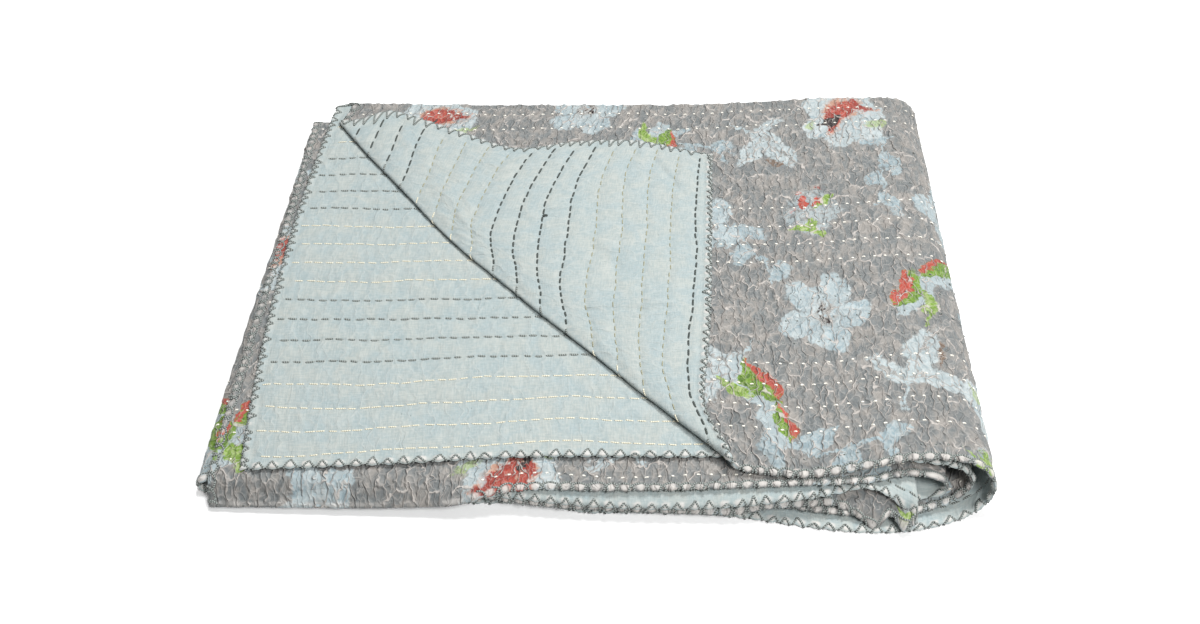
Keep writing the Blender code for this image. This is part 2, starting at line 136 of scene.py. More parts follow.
# ---------------------------------------------------------------- formulas of the fold
def unit(vectors):
    """Vectors made one long."""
    return vectors / np.linalg.norm(vectors, axis=-1, keepdims=True)


def smooth_step(x):
    """0 below 0, 1 above 1, and 3x^2 - 2x^3 between."""
    x = np.clip(x, 0.0, 1.0)
    return x * x * (3.0 - 2.0 * x)


def mix(a, b, share):
    """a where the share is 0, b where it is 1."""
    return a + (b - a) * share


def within(x, low, high, margin=0.0):
    """Whether x lies between two places, or no further than a margin outside them."""
    return (x > low - margin) & (x < high + margin)


def smooth_table(x, rows, column=1):
    """A cubic through a table's rows, with the slope at each row taken from its neighbours."""
    table = np.array(rows)
    xs, ys = table[:, 0], table[:, column]
    slopes = np.gradient(ys, xs)
    x = np.clip(x, xs[0], xs[-1])
    i = np.clip(np.searchsorted(xs, x, side="right") - 1, 0, len(xs) - 2)
    span = xs[i + 1] - xs[i]
    u = (x - xs[i]) / span
    return ((2 * u**3 - 3 * u**2 + 1) * ys[i] + (u**3 - 2 * u**2 + u) * span * slopes[i]
            + (3 * u**2 - 2 * u**3) * ys[i + 1] + (u**3 - u**2) * span * slopes[i + 1])


def level_front(level, x):
    """y of a level's front edge above a place x."""
    run, half = LEVELS[level - 1]
    share = np.clip((x - STACK_LEFT) / STACK_SPAN, 0.0, 1.0)
    if run in ("run_b", "run_d"):
        share = 1.0 - share
    return smooth_table(STARTS[run] + RUNS[run] * share, EDGE_PLAN, 2 if half == "near" else 3)


def height(level, x, y):
    """Height at a level that may lie between two whole ones: one rise for each level below.

    In front of a lower level's edge its rise dies away, so the levels above droop over it.
    The droop dies out towards the folds on the right, where the stack stands up.
    """
    rise = smooth_table(x, RISE_TABLE)
    droop = 1.0 - smooth_step((x - DROOP_END[0]) / (DROOP_END[1] - DROOP_END[0]))
    heights = [HALF_QUILT * np.ones_like(x)]
    for below in range(len(LEVELS), 1, -1):
        there = smooth_step((y - level_front(below, x) + DROOP_RUN) / DROOP_RUN)
        heights.append(heights[-1] + rise * (1.0 - droop * (1.0 - there)))
    heights = np.stack(heights[::-1])
    index = np.clip(np.floor(level).astype(int), 1, len(LEVELS) - 1)
    columns = np.arange(x.size)
    return mix(heights[index - 1, columns], heights[index, columns], level - index)


# ---------------------------------------------------------------- folding
def across(s, t):
    """Fold across the width: (y, far, forward).

    far is 0 on the near half and 1 on the far half, and forward is the share of the way from
    the back crease to the front edge.
    """
    crease_y, near_y, far_y = (smooth_table(s, EDGE_PLAN, column) for column in (1, 2, 3))
    turn = np.clip((t - HALF_NEAR) / CREASE, 0.0, 1.0) * math.pi
    near_part = np.clip(HALF_NEAR - t, 0.0, None) / HALF_NEAR
    far_part = np.clip(t - HALF_NEAR - CREASE, 0.0, None) / HALF_FAR
    y = crease_y + CREASE_RADIUS * np.sin(turn)
    y = y + (near_y - crease_y) * near_part + (far_y - crease_y) * far_part
    return y, 0.5 - 0.5 * np.cos(turn), np.maximum(near_part, far_part)


def between(sizes, far, forward):
    """A size that is given for the near and the far half, at the front and at the back."""
    front, back = sizes
    return mix(mix(*back, far), mix(*front, far), smooth_step(forward))


def along(s, far, forward):
    """Fold along the length: (x, level) of each place on the cloth.

    The runs hold their level.  Each fold is half a turn about the level midway between the
    two that it joins: 1 to 8, 8 to 5 and 5 to 4 on the near half, and 2 to 7, 7 to 6 and
    6 to 3 on the far half.
    """
    fold_1, fold_2, fold_3 = (between(sizes, far, forward) for sizes in FOLD_X)
    reach_1, reach_2, reach_3 = (between(sizes, far, forward) for sizes in FOLD_REACH)
    left_a = between(LEFT_A, far, forward) - LEFT_BOW * far * 4.0 * forward * (1.0 - forward)
    left_a = left_a + LEFT_TUCK * (1.0 - far) * (1.0 - smooth_step(forward / TUCK_REACH))
    share_a, share_1, share_b, share_2, share_c, share_3, share_d = (
        np.clip((s - STARTS[name]) / length, 0.0, 1.0) for name, length in RUNS.items())
    turn_1, turn_2, turn_3 = share_1 * math.pi, share_2 * math.pi, share_3 * math.pi
    stretches = [s <= ENDS[name] for name in RUNS if name != "run_d"]
    x = np.select(stretches, [
        mix(left_a, fold_1, share_a), fold_1 + reach_1 * np.sin(turn_1),
        mix(fold_1, fold_2, share_b), fold_2 - reach_2 * np.sin(turn_2),
        mix(fold_2, fold_3, share_c), fold_3 + reach_3 * np.sin(turn_3)],
        mix(fold_3, between(LEFT_D, far, forward), share_d))
    level = np.select(stretches, [
        1.0 + far, 4.5 - (3.5 - far) * np.cos(turn_1),
        8.0 - far, 6.5 + (1.5 - far) * np.cos(turn_2),
        5.0 + far, 4.5 + (0.5 + far) * np.cos(turn_3)],
        4.0 - far)
    return x, level


def off_turn(x, y):
    """(share of the way along the diagonal, how far the fold bends out there, distance beyond it)."""
    dx, dy = x - TURN_START[0], y - TURN_START[1]
    share = (dx * TURN_RUN[0] + dy * TURN_RUN[1]) / TURN_LENGTH
    bend = smooth_table(share, BEND_TABLE)
    return share, bend, dx * TURN_OUT[0] + dy * TURN_OUT[1] - bend


def from_turn(along_it, out):
    """Plan (x, y) of a distance along the diagonal and a distance out from it."""
    return (TURN_START[k] + along_it * TURN_RUN[k] + out * TURN_OUT[k] for k in (0, 1))


def on_level_one(s, t):
    """Whether a place is on the near half of the top run."""
    return (s < END_A) & (t < HALF_NEAR)


def turn_corner(s, t, x, y, z):
    """Turn the free corner of level 1 back over the diagonal, and let it settle."""
    share, bend, beyond = off_turn(x, y)
    turned = on_level_one(s, t) & (beyond > 0.0)
    radius = smooth_table(share, RADIUS_TABLE)
    angle = np.clip(beyond / radius, 0.0, math.pi)
    back = np.clip(beyond - math.pi * radius, 0.0, None)
    down = np.clip(share, 0.0, 1.0)
    new_beyond = radius * np.sin(angle) - back * mix(*TURN_DRAW_IN, down)
    new_beyond = new_beyond + bend * (1.0 + smooth_step(back / BEND_SETTLE))
    new_x, new_y = from_turn(share * TURN_LENGTH + back * mix(*TURN_SLIP, down), new_beyond)
    loose = smooth_step(back / (RIPPLE_DEPTH / 2))
    new_x = new_x + smooth_table(s, BOW_TABLE) * np.exp(-t / RIPPLE_DEPTH) * loose
    new_y = new_y + smooth_table(1.0 - t / HALF_NEAR, RIPPLE_TABLE) * np.exp(-s / RIPPLE_DEPTH) * loose
    settled = mix(radius, RADIUS_TABLE[0][1], smooth_step(back / TURN_SETTLE))
    new_z = height(np.ones_like(x), new_x, new_y) + settled * (1.0 - np.cos(angle))
    return (np.where(turned, new, old) for new, old in ((new_x, x), (new_y, y), (new_z, z)))


def middle_surface(s, t):
    """Where the quilt's middle surface lies once it is folded."""
    y, far, forward = across(s, t)
    x, level = along(s, far, forward)
    x, y, z = turn_corner(s, t, x, y, height(level, x, y))
    return np.stack([x - STACK_MIDDLE[0], y - STACK_MIDDLE[1], z], axis=1)


# ---------------------------------------------------------------- stitch rows
NEAR_FIRST, NEAR_PITCH = 0.0135, 0.0208     # rows counted from the near half's long edge
FAR_FIRST, FAR_PITCH = 0.0125, 0.0222       # rows counted from the far half's long edge
ROWS = 19                                   # rows on each half
ROW_SPLIT = (NEAR_FIRST + NEAR_PITCH * (ROWS - 1) + WIDTH - FAR_FIRST - FAR_PITCH * (ROWS - 1)) / 2
STITCH_PITCH = 0.0098                       # one stitch and one gap along a row
ROW_START = 0.010                           # where the first stitch of a row begins
ROW_SHIFT = 0.381                           # each row's stitches start this much further on
# How the rows stray sideways: (how far, size in s, size in t, seed)
ROW_WANDER = [(0.0036, 0.105, 0.090, 11), (0.0010, 0.026, 0.040, 12)]

# ---------------------------------------------------------------- edge stitches
EDGE_DEPTH = 0.0066                         # how far in from the edge they bite
# Their pitch along each cut edge: (place along the edge, pitch)
NEAR_EDGE_PITCH = [(0.0, 0.0083), (0.38, 0.0083), (0.45, 0.0117), (LENGTH, 0.0117)]
FAR_EDGE_PITCH = [(0.0, 0.0134), (0.56, 0.0134), (0.66, 0.0117), (LENGTH, 0.0117)]
START_EDGE_PITCH = [(0.0, 0.0105), (HALF_NEAR, 0.0105), (HALF_NEAR + 0.04, 0.0084), (WIDTH, 0.0084)]
END_EDGE_PITCH = [(0.0, 0.0086), (WIDTH, 0.0086)]
HEM_START = D + 0.345                       # from here on the far long edge has no thread

# ---------------------------------------------------------------- relief, placed one by one
# (s, t of one end, s, t of the other end, half breadth, height: a ridge is +, a trough is -)
CREASES_ON_TURNED_CORNER = [
    (0.004, 0.062, 0.085, 0.018, 0.0040, -0.0012), (0.030, 0.110, 0.020, 0.250, 0.0110, 0.0014),
    (0.075, 0.040, 0.090, 0.215, 0.0120, 0.0016), (0.150, 0.020, 0.140, 0.150, 0.0130, 0.0014),
    (0.215, 0.015, 0.235, 0.100, 0.0110, 0.0016), (0.120, 0.120, 0.190, 0.060, 0.0060, -0.0010),
    (0.060, 0.255, 0.130, 0.190, 0.0080, 0.0012), (0.2265, 0.112, 0.2275, 0.018, 0.0036, -0.0013),
    (0.214, 0.110, 0.215, 0.020, 0.0100, 0.0012),
]
CREASES_ON_TOP = [
    (0.398, 0.040, 0.452, 0.004, 0.0120, 0.0016), (0.455, 0.024, 0.545, 0.036, 0.0100, 0.0022),
    (0.530, 0.395, 0.590, 0.300, 0.0070, 0.0022), (0.560, 0.400, 0.612, 0.330, 0.0060, -0.0016),
    (0.420, 0.335, 0.540, 0.322, 0.0090, 0.0014), (0.405, 0.215, 0.500, 0.200, 0.0100, 0.0012),
    (0.455, 0.120, 0.560, 0.150, 0.0110, 0.0014), (0.050, 0.385, 0.200, 0.392, 0.0070, 0.0014),
]
CREASES_ON_SECOND = [
    (0.010, 0.640, 0.140, 0.655, 0.0110, 0.0012), (0.060, 0.700, 0.190, 0.690, 0.0100, 0.0014),
    (0.030, 0.770, 0.240, 0.780, 0.0120, 0.0012), (0.015, 0.560, 0.080, 0.570, 0.0090, 0.0012),
]
CREASE_STRAY, CREASE_STRAY_SIZE = 0.004, 0.05       # how far they bend, and over what length
CREASE_FADE = 0.3                           # share of their length over which each end fades
# Waves of the layers: (size in s, size in t, seed, height on level 1, height on level 2)
WAVES = [(0.052, 0.070, 31, 0.0012, 0.0006), (0.024, 0.030, 32, 0.0006, 0.0004)]
# Bunched front edge by fold 3: (distance along the edge from the fold, how far it hangs down,
# how far it is pushed forward), on level 5 and then on level 4
RUFFLE_ON_FIFTH = [
    (0.0, 0.0075, -0.002), (0.004, 0.0090, -0.001), (0.008, 0.0060, -0.006), (0.0125, 0.0010, -0.012),
    (0.0170, 0.0020, -0.011), (0.0205, 0.0070, -0.006), (0.0240, 0.0105, -0.003), (0.028, 0.0080, -0.004),
    (0.036, 0.0040, -0.008), (0.046, 0.0015, -0.011), (0.058, 0.0, -0.012), (0.080, 0.0, -0.008),
    (0.105, 0.0, -0.006), (0.140, 0.0, 0.0)]
RUFFLE_ON_FOURTH = [
    (0.0, 0.0065, -0.004), (0.010, 0.0040, -0.001), (0.022, -0.0010, 0.001), (0.034, -0.0022, 0.0),
    (0.050, 0.0, 0.0), (0.140, 0.0, 0.0)]
RUFFLE_RUN = 0.14           # how far from fold 3 that reaches
TUCK_START = B + 0.28       # from here to fold 2 level 8 is tucked in at the front
TUCK = 0.010                # how far in
SAG = 0.0016                # how far level 1 sinks along the diagonal fold
SAG_BREADTH = 0.035         # half breadth of that hollow

# Heights of the faces above the middle surface: (least, puff of the crumple, gather at a
# stitch, least at a cut edge, bulge between the edge stitches)
FACES = {PRINTED: (0.00045, 0.00185, -0.00025, 0.0006, 0.0019),
         PLAIN: (0.00045, 0.00150, 0.00022, 0.0005, 0.0018)}
# Sharp creases of a face: (share, size in s, size in t, seed, power)
SHARP_CREASES = {PRINTED: [(0.66, 0.0110, 0.0300, 43, 1.5), (0.20, 0.0080, 0.0100, 44, 1.3)],
                 PLAIN: [(0.30, 0.0105, 0.030, 47, 1.4)]}
# Soft part of its relief: (level, share, size in s, size in t, seed)
SOFT_PUFFS = {PRINTED: (0.06, 0.06, 0.0055, 0.0060, 45), PLAIN: (0.46, 0.30, 0.012, 0.018, 46)}
CREASE_BEND, CREASE_BEND_SIZE = 0.0050, 0.021       # how far those are bent out of line
ROW_HOLD = 0.85             # share of the puff that a stitch row takes away
ROW_HOLLOW = 0.0036         # half breadth of the hollow along it
GATHER_BREADTH = 0.0050     # half breadth of the gathers at its stitches
TURN_HOLD = 0.80            # share of the crumple that the diagonal fold takes away
EDGE_BAND = 0.012           # distance in from a cut edge at which its bulges begin
EDGE_ROUND = 0.0022         # and over which a face rounds down to the edge
CROSS_EDGE_BULGE = 0.62     # how far the bulges rise on the short edges, against the long ones
# How far out the edge is drawn where two threads cross, and how much further at a hole
BEAD_DRAW = (-0.0011, 0.0018)


# ---------------------------------------------------------------- noise
NOISE_CELLS = 96
NOISE_SCALE = 1.45          # brings the noise up to the range from -1 to 1


def noise(x, y, seed):
    """Perlin noise from -1 to 1.

    Each corner of a unit lattice holds a random slope.  The four slopes round a place are
    blended by 6u^5 - 15u^4 + 10u^3 of its distance from each corner.
    """
    angles = np.random.default_rng(seed).uniform(0.0, 2 * math.pi, (NOISE_CELLS, NOISE_CELLS))
    column, row = np.floor(x).astype(int), np.floor(y).astype(int)
    total = np.zeros(np.broadcast(x, y).shape)
    for i in (0, 1):
        for j in (0, 1):
            dx, dy = x - column - i, y - row - j
            angle = angles[(column + i) % NOISE_CELLS, (row + j) % NOISE_CELLS]
            u, v = 1.0 - np.abs(dx), 1.0 - np.abs(dy)
            blend = (u**3 * (u * (6 * u - 15) + 10)) * (v**3 * (v * (6 * v - 15) + 10))
            total = total + blend * (np.cos(angle) * dx + np.sin(angle) * dy)
    return total * NOISE_SCALE


def ridge(x, y, seed):
    """Sharp-crested noise from 0 to 1: highest where the noise crosses 0."""
    return np.clip(1.0 - 2.2 * np.abs(noise(x, y, seed)), 0.0, 1.0)


def hump(x, half_breadth):
    """1 in the middle, falling off as exp(-(x / half breadth)^2)."""
    return np.exp(-(x / half_breadth) ** 2)


# ---------------------------------------------------------------- places on the flat quilt
def graded_lines(length, table, block=1):
    """Lines across a length: cell size is read from a table of (place, cell size).

    The number of cells up to a place is the integral of 1 / cell size, and the lines lie where
    it takes even steps.  The count is a whole number of blocks.
    """
    places = np.linspace(0.0, length, 20001)
    density = 1.0 / np.interp(places, *np.array(table).T)
    count = np.concatenate([[0.0], np.cumsum((density[1:] + density[:-1]) / 2 * np.diff(places))])
    total = math.ceil(count[-1] / block) * block
    return np.interp(np.linspace(0.0, count[-1], total + 1), count, places)


# Holes of the edge stitches along each pair of cut edges, at s or t = 0 and at the far end
LONG_EDGE_HOLES = graded_lines(LENGTH, NEAR_EDGE_PITCH), graded_lines(LENGTH, FAR_EDGE_PITCH)
CROSS_EDGE_HOLES = graded_lines(WIDTH, START_EDGE_PITCH), graded_lines(WIDTH, END_EDGE_PITCH)


def edge_gap(s, t):
    """Distance in from the nearest cut edge."""
    return np.minimum.reduce([s, LENGTH - s, t, WIDTH - t])


def row_wander(s, t):
    """How far the hand-sewn rows stray sideways, a slow wave and a quick one."""
    return sum(reach * noise(s / size_s, t / size_t, seed) for reach, size_s, size_t, seed in ROW_WANDER)


def row_count(s, t):
    """(whether a place is on the far half, rows counted in from that half's long edge)."""
    place = t + row_wander(s, t)
    far = place > ROW_SPLIT
    return far, np.where(far, (WIDTH - place - FAR_FIRST) / FAR_PITCH, (place - NEAR_FIRST) / NEAR_PITCH)


def row_line(row, far, s):
    """t of a stitch row: its even place, less how far it strays."""
    even = np.where(far, WIDTH - FAR_FIRST - FAR_PITCH * row, NEAR_FIRST + NEAR_PITCH * row)
    return even - row_wander(s, even - row_wander(s, even))


def row_map(s, t):
    """(rows counted across the cloth, stitches counted along it), for the materials."""
    far, count = row_count(s, t)
    rows = np.where(far, 2.0 * ROWS - 1.0 - count, count)
    return np.stack([rows, (s - ROW_START) / STITCH_PITCH], axis=1)


def plan_place(s, t):
    """Plan (x, y) of a place before the corner is turned."""
    y, far, forward = across(s, t)
    return along(s, far, forward)[0], y


def beyond_turn(s, t):
    """Distance of a place beyond the diagonal, before the corner is turned."""
    return off_turn(*plan_place(s, t))[2]


def on_turned_corner(s, t):
    """0 off the turned corner, 1 once the cloth has come round the diagonal fold."""
    return smooth_step((beyond_turn(s, t) - 0.004) / 0.014) * on_level_one(s, t)


# ---------------------------------------------------------------- relief of the cloth
def creases(s, t, table):
    """Soft troughs and ridges: each is exp(-(distance / half breadth)^2) along a line."""
    bent = t + CREASE_STRAY * noise(s / CREASE_STRAY_SIZE, t / CREASE_STRAY_SIZE, 21)
    total = np.zeros_like(s)
    for s0, t0, s1, t1, half_breadth, size in table:
        ds, dt = s1 - s0, t1 - t0
        length = math.hypot(ds, dt)
        along_it = ((s - s0) * ds + (t - t0) * dt) / length**2
        off = ((s - s0) * dt - (bent - t0) * ds) / length
        ends = smooth_step(along_it / CREASE_FADE) * smooth_step((1.0 - along_it) / CREASE_FADE)
        total = total + size * ends * hump(off, half_breadth)
    return total


def swell(s, t):
    """How far the whole quilt lifts, both cloths together: slow waves and the main creases.

    The turned corner faces down, so what lifts it in the stack is less than 0 for the cloth.
    """
    free = smooth_step((edge_gap(s, t) - 0.004) / 0.030)
    first = second = 0.0
    for size_s, size_t, seed, first_height, second_height in WAVES:
        wave = 0.5 + 0.5 * noise(s / size_s, t / size_t, seed)
        first, second = first + first_height * wave, second + second_height * wave
    corner = on_turned_corner(s, t)
    top = (first * free * smooth_step((HALF_NEAR - t) / 0.020)
           + creases(s, t, CREASES_ON_TOP) * (1.0 - corner)
           + creases(s, t, CREASES_ON_TURNED_CORNER) * corner) * (1.0 - 2.0 * corner)
    open_air = (smooth_step((beyond_turn(s, t) - 0.014) / 0.020)
                * smooth_step((t - HALF_NEAR - 0.03) / 0.03))
    bare = (second * free + creases(s, t, CREASES_ON_SECOND)) * open_air
    near = t < HALF_NEAR
    return np.where((s < END_A + 0.05) & near, top, np.where((s < END_A) & ~near, bare, 0.0))


def beads(place, holes):
    """The edge bulges between its stitches: 1 at each hole, 0 where two threads cross."""
    return 0.5 + 0.5 * np.cos(2 * math.pi * np.interp(place, holes, np.arange(len(holes))))


def edge_relief(s, t):
    """(bulge of the faces near the cut edges, how far the edge is drawn outwards in s and t)."""
    bare = smooth_step((s - HEM_START) / 0.020) * (t > WIDTH - 0.05)
    lumps = 0.30 + 0.35 * noise(s / 0.013, t / 0.30, 51)
    bulge = np.zeros_like(s)
    shifts = []
    for place, size, other, holes, full in ((s, LENGTH, t, CROSS_EDGE_HOLES, CROSS_EDGE_BULGE),
                                            (t, WIDTH, s, LONG_EDGE_HOLES, 1.0)):
        inside = np.minimum(place, size - place)
        first = place < size / 2
        bead = mix(np.where(first, beads(other, holes[0]), beads(other, holes[1])), lumps, bare)
        window = smooth_step(inside / 0.0016) * smooth_step((EDGE_DEPTH + 0.0012 - inside) / 0.0042)
        bulge = np.maximum(bulge, full * window * (0.15 + 0.85 * bead))
        drawn = (BEAD_DRAW[0] + BEAD_DRAW[1] * bead) * smooth_step((0.006 - inside) / 0.006)
        shifts.append(np.where(first, -1.0, 1.0) * drawn)
    return bulge, *shifts


def crumple(s, t, side):
    """Relief that washing has left in a face, from 0 in its hollows to 1 on its sharpest creases.

    The printed face is thrown into sharp little ridges, most of them across the rows.  The
    plain one has soft puffs and a few long creases that run the same way.
    """
    bend_s, bend_t = (place + CREASE_BEND * noise(s / CREASE_BEND_SIZE, t / CREASE_BEND_SIZE, seed)
                      for place, seed in ((s, 41), (t, 42)))
    level, share, size_s, size_t, seed = SOFT_PUFFS[side]
    soft_s, soft_t = (s, t) if side > 0 else (bend_s, bend_t)
    total = level + share * noise(soft_s / size_s, soft_t / size_t, seed)
    for share, size_s, size_t, seed, power in SHARP_CREASES[side]:
        total = total + share * ridge(bend_s / size_s, bend_t / size_t, seed) ** power
    return np.clip(total, 0.0, 1.1)


def face_height(s, t, side):
    """Height of a face above the quilt's middle surface.

    The cloth is held down at the stitch rows and puffs up between them by its crumple.  Near a
    cut edge it bulges between the edge stitches, and at the edge it rounds down to the middle.
    """
    far, count = row_count(s, t)
    row = np.clip(np.round(count), 0, ROWS - 1)
    off_row = np.abs(count - row) * np.where(far, FAR_PITCH, NEAR_PITCH)
    stitches = (s - ROW_START) / STITCH_PITCH - ROW_SHIFT * row - 0.5 * far
    gather = np.cos(2 * math.pi * stitches) * hump(off_row, GATHER_BREADTH)
    turning = hump(beyond_turn(s, t) - 0.0035, 0.0060) * on_level_one(s, t)
    rough = crumple(s, t, side) * (1.0 - TURN_HOLD * turning)
    least, puff, gathered, least_at_edge, bead = FACES[side]
    flat = least + (1.0 - ROW_HOLD * hump(off_row, ROW_HOLLOW)) * puff * rough + gathered * gather
    beaded = least_at_edge + bead * edge_relief(s, t)[0]
    edge = edge_gap(s, t)
    rim = np.clip(edge / EDGE_ROUND, 0.0, 1.0)
    rounded = np.sqrt(np.clip(1.0 - (1.0 - rim) ** 2, 0.0, 1.0))
    return mix(flat, beaded, smooth_step((EDGE_BAND - edge) / 0.005)) * rounded


# ---------------------------------------------------------------- from flat to folded
SLOPE_STEP = 0.0002         # distance over which the cloth's slope is measured


def cloth_directions(s, t):
    """Unit directions of the middle surface: along s, along t, and its normal."""
    slope_s, slope_t = (unit(middle_surface(s + ds, t + dt) - middle_surface(s - ds, t - dt))
                        for ds, dt in ((SLOPE_STEP, 0.0), (0.0, SLOPE_STEP)))
    return slope_s, slope_t, unit(np.cross(slope_s, slope_t))


def ruffle(s, t):
    """(lift, push forward): levels 4 and 5 bunch up by fold 3, level 8 is tucked in on the
    left, and level 1 sinks along the diagonal fold."""
    fifth = s < F3 + 0.011
    from_fold = np.clip(np.where(fifth, F3 - s, s - D), 0.0, None)
    drop, push = (np.where(fifth, smooth_table(from_fold, RUFFLE_ON_FIFTH, column),
                           smooth_table(from_fold, RUFFLE_ON_FOURTH, column)) for column in (1, 2))
    near_fold = within(s, F3, D, RUFFLE_RUN) & (t < HALF_NEAR)
    tuck = TUCK * smooth_step((s - TUCK_START) / 0.06) * smooth_step((F2 - s) / 0.02) * hump(t, 0.030)
    tuck = tuck * (within(s, TUCK_START, F2) & (t < HALF_NEAR))
    sag = SAG * hump(beyond_turn(s, t), SAG_BREADTH) * on_level_one(s, t)
    return (np.where(near_fold, -drop * hump(t, 0.0052), -sag),
            np.where(near_fold, push * hump(t, 0.022), -tuck))


def quilt_place(s, t, rise, outwards=0.0):
    """Carry flat places to the folded quilt, raised along its normal and drawn past its edge.

    place = middle surface + normal * (swell + rise) + ruffle
            + unit slope in s * shift in s + unit slope in t * shift in t
    """
    s, t, rise, outwards = (np.array(a, float) for a in np.broadcast_arrays(s, t, rise, outwards))
    shape = s.shape
    s, t, rise, outwards = s.ravel(), t.ravel(), rise.ravel(), outwards.ravel()
    slope_s, slope_t, normal = cloth_directions(s, t)
    _, shift_s, shift_t = edge_relief(s, t)
    cross_edge = np.minimum(s, LENGTH - s) <= np.minimum(t, WIDTH - t)
    shift_s = shift_s + np.where(cross_edge, outwards, 0.0) * np.where(s < LENGTH / 2, -1.0, 1.0)
    shift_t = shift_t + np.where(cross_edge, 0.0, outwards) * np.where(t < WIDTH / 2, -1.0, 1.0)
    place = (middle_surface(s, t) + normal * (swell(s, t) + rise)[:, None]
             + slope_s * shift_s[:, None] + slope_t * shift_t[:, None])
    lift, push = ruffle(s, t)
    place[:, 1] -= push
    place[:, 2] += lift
    return place.reshape(shape + (3,))


# ---------------------------------------------------------------- meshes
def make_piece(name, points, corners, counts, maps, material):
    """A mesh from whole arrays: its points, the corners of its faces, and how many each has."""
    mesh = bpy.data.meshes.new(name)
    mesh.vertices.add(len(points))
    mesh.vertices.foreach_set("co", np.asarray(points, np.float32).ravel())
    mesh.loops.add(len(corners))
    mesh.loops.foreach_set("vertex_index", np.asarray(corners, np.int32))
    mesh.polygons.add(len(counts))
    starts = np.concatenate([[0], np.cumsum(counts)[:-1]])
    mesh.polygons.foreach_set("loop_start", starts.astype(np.int32))
    mesh.update(calc_edges=True)
    for map_name, values in maps.items():
        layer = mesh.uv_layers.new(name=map_name)
        layer.uv.foreach_set("vector", np.asarray(values, np.float32)[corners].ravel())
    mesh.polygons.foreach_set("use_smooth", np.ones(len(counts), bool))
    mesh.update()
    mesh.materials.append(material)
    piece = bpy.data.objects.new(name, mesh)
    bpy.context.scene.collection.objects.link(piece)
    return piece


BLOCK = 8                   # cells of a block, which is cut into 1, 4, 16 or 64 faces
CELL = {PRINTED: 0.0017, PLAIN: 0.0018}     # largest cells on the two cloths
# Smaller cells: (distance from the place, cell size) at a cut edge, and beside a fold
EDGE_CELLS = [(0.0, 0.0005), (0.005, 0.0010)]
FOLD_CELL, CREASE_CELL = 0.0009, 0.0007


def cell_lines(cell):
    """Lines of the grid along the length and across the width, closer at edges and folds."""
    def with_edges(length, middle):
        first = EDGE_CELLS + [(0.010, cell)]
        last = [(length - place, size) for place, size in first[::-1]]
        return graded_lines(length, first + middle + last, BLOCK)

    folds = [row for start, end in ((F2, C), (F3, D)) for row in (
        (start - 0.006, cell), (start - 0.001, FOLD_CELL), (end + 0.001, FOLD_CELL), (end + 0.006, cell))]
    crease = [(HALF_NEAR - 0.008, cell), (HALF_NEAR, CREASE_CELL),
              (HALF_NEAR + CREASE, CREASE_CELL), (HALF_NEAR + CREASE + 0.008, cell)]
    return with_edges(LENGTH, folds), with_edges(WIDTH, crease)


def under_turned_corner(s, t, margin):
    """Whether a place on level 1 is covered: its mirror image in the diagonal is on the corner."""
    share, bend, beyond = off_turn(*plan_place(s, t))
    slip = beyond * mix(*TURN_SLIP, np.clip(share, 0.0, 1.0))
    mirror_x, mirror_y = from_turn(share * TURN_LENGTH + slip, bend - beyond)
    left = mix(LEFT_A[1][0], LEFT_A[0][0], np.clip(0.5 - mirror_y / 0.40, 0.0, 1.0))
    return (beyond < -margin) & (mirror_x > left + margin) & (mirror_y > EDGE_PLAN[0][2] + margin)


EDGE_SEEN = 0.011           # distance in from a cut edge that can always be seen


def seen(s, t, side, margin=0.0):
    """Whether a face of the quilt can be seen from outside at a flat place."""
    beyond, run_a, near, edge = beyond_turn(s, t), s < END_A, t < MID_CREASE, edge_gap(s, t)
    if side < 0:
        corner = near & (beyond > -margin)
        second = ~near & (beyond > -0.012 - margin)
        front = ((s > F3 - 0.09) & (t < 0.030)) | (within(s, F1, B + 0.05) & (edge < 0.030))
        return run_a & (corner | second) | front | (edge < EDGE_SEEN)
    top = run_a & near & (beyond < 0.012 + margin) & ~under_turned_corner(s, t, 0.034 - margin)
    outer_fold = within(s, F1, B, margin)
    back_crease = np.abs(t - MID_CREASE) < 0.010 + margin
    left_fold = within(s, F2 - 0.010, C + 0.010, margin)
    ends = s > LENGTH - 0.045 - margin
    third_front = (s > D) & (t > WIDTH - 0.032 - margin)
    return top | outer_fold | back_crease | left_fold | ends | third_front | (edge < EDGE_SEEN)


def faces_per_side(s, t, side):
    """Cells along the side of each face in a block: 1 is finest and 8 is a whole block."""
    beyond, run_a, edge = beyond_turn(s, t), s < END_A, edge_gap(s, t)
    folds = within(s, F2, C, 0.006) | within(s, F3, D, 0.006) | (np.abs(t - MID_CREASE) < 0.012)
    bunched = within(s, F3, D, 0.08) & (t < 0.04)
    third_front = (s > D) & (t > WIDTH - 0.036)
    outer_front = within(s, F1, B) & (t < 0.10)
    finest = run_a & seen(s, t, side, margin=0.004) & ((side < 0) | (t < MID_CREASE))
    finest |= run_a & (t < HALF_NEAR + 0.004) & within(beyond, -0.008, 0.022)
    middling = folds | bunched | (edge < 0.007) | third_front | outer_front
    return np.select([finest, middling, edge < 0.030], [1, 2, 4], BLOCK)


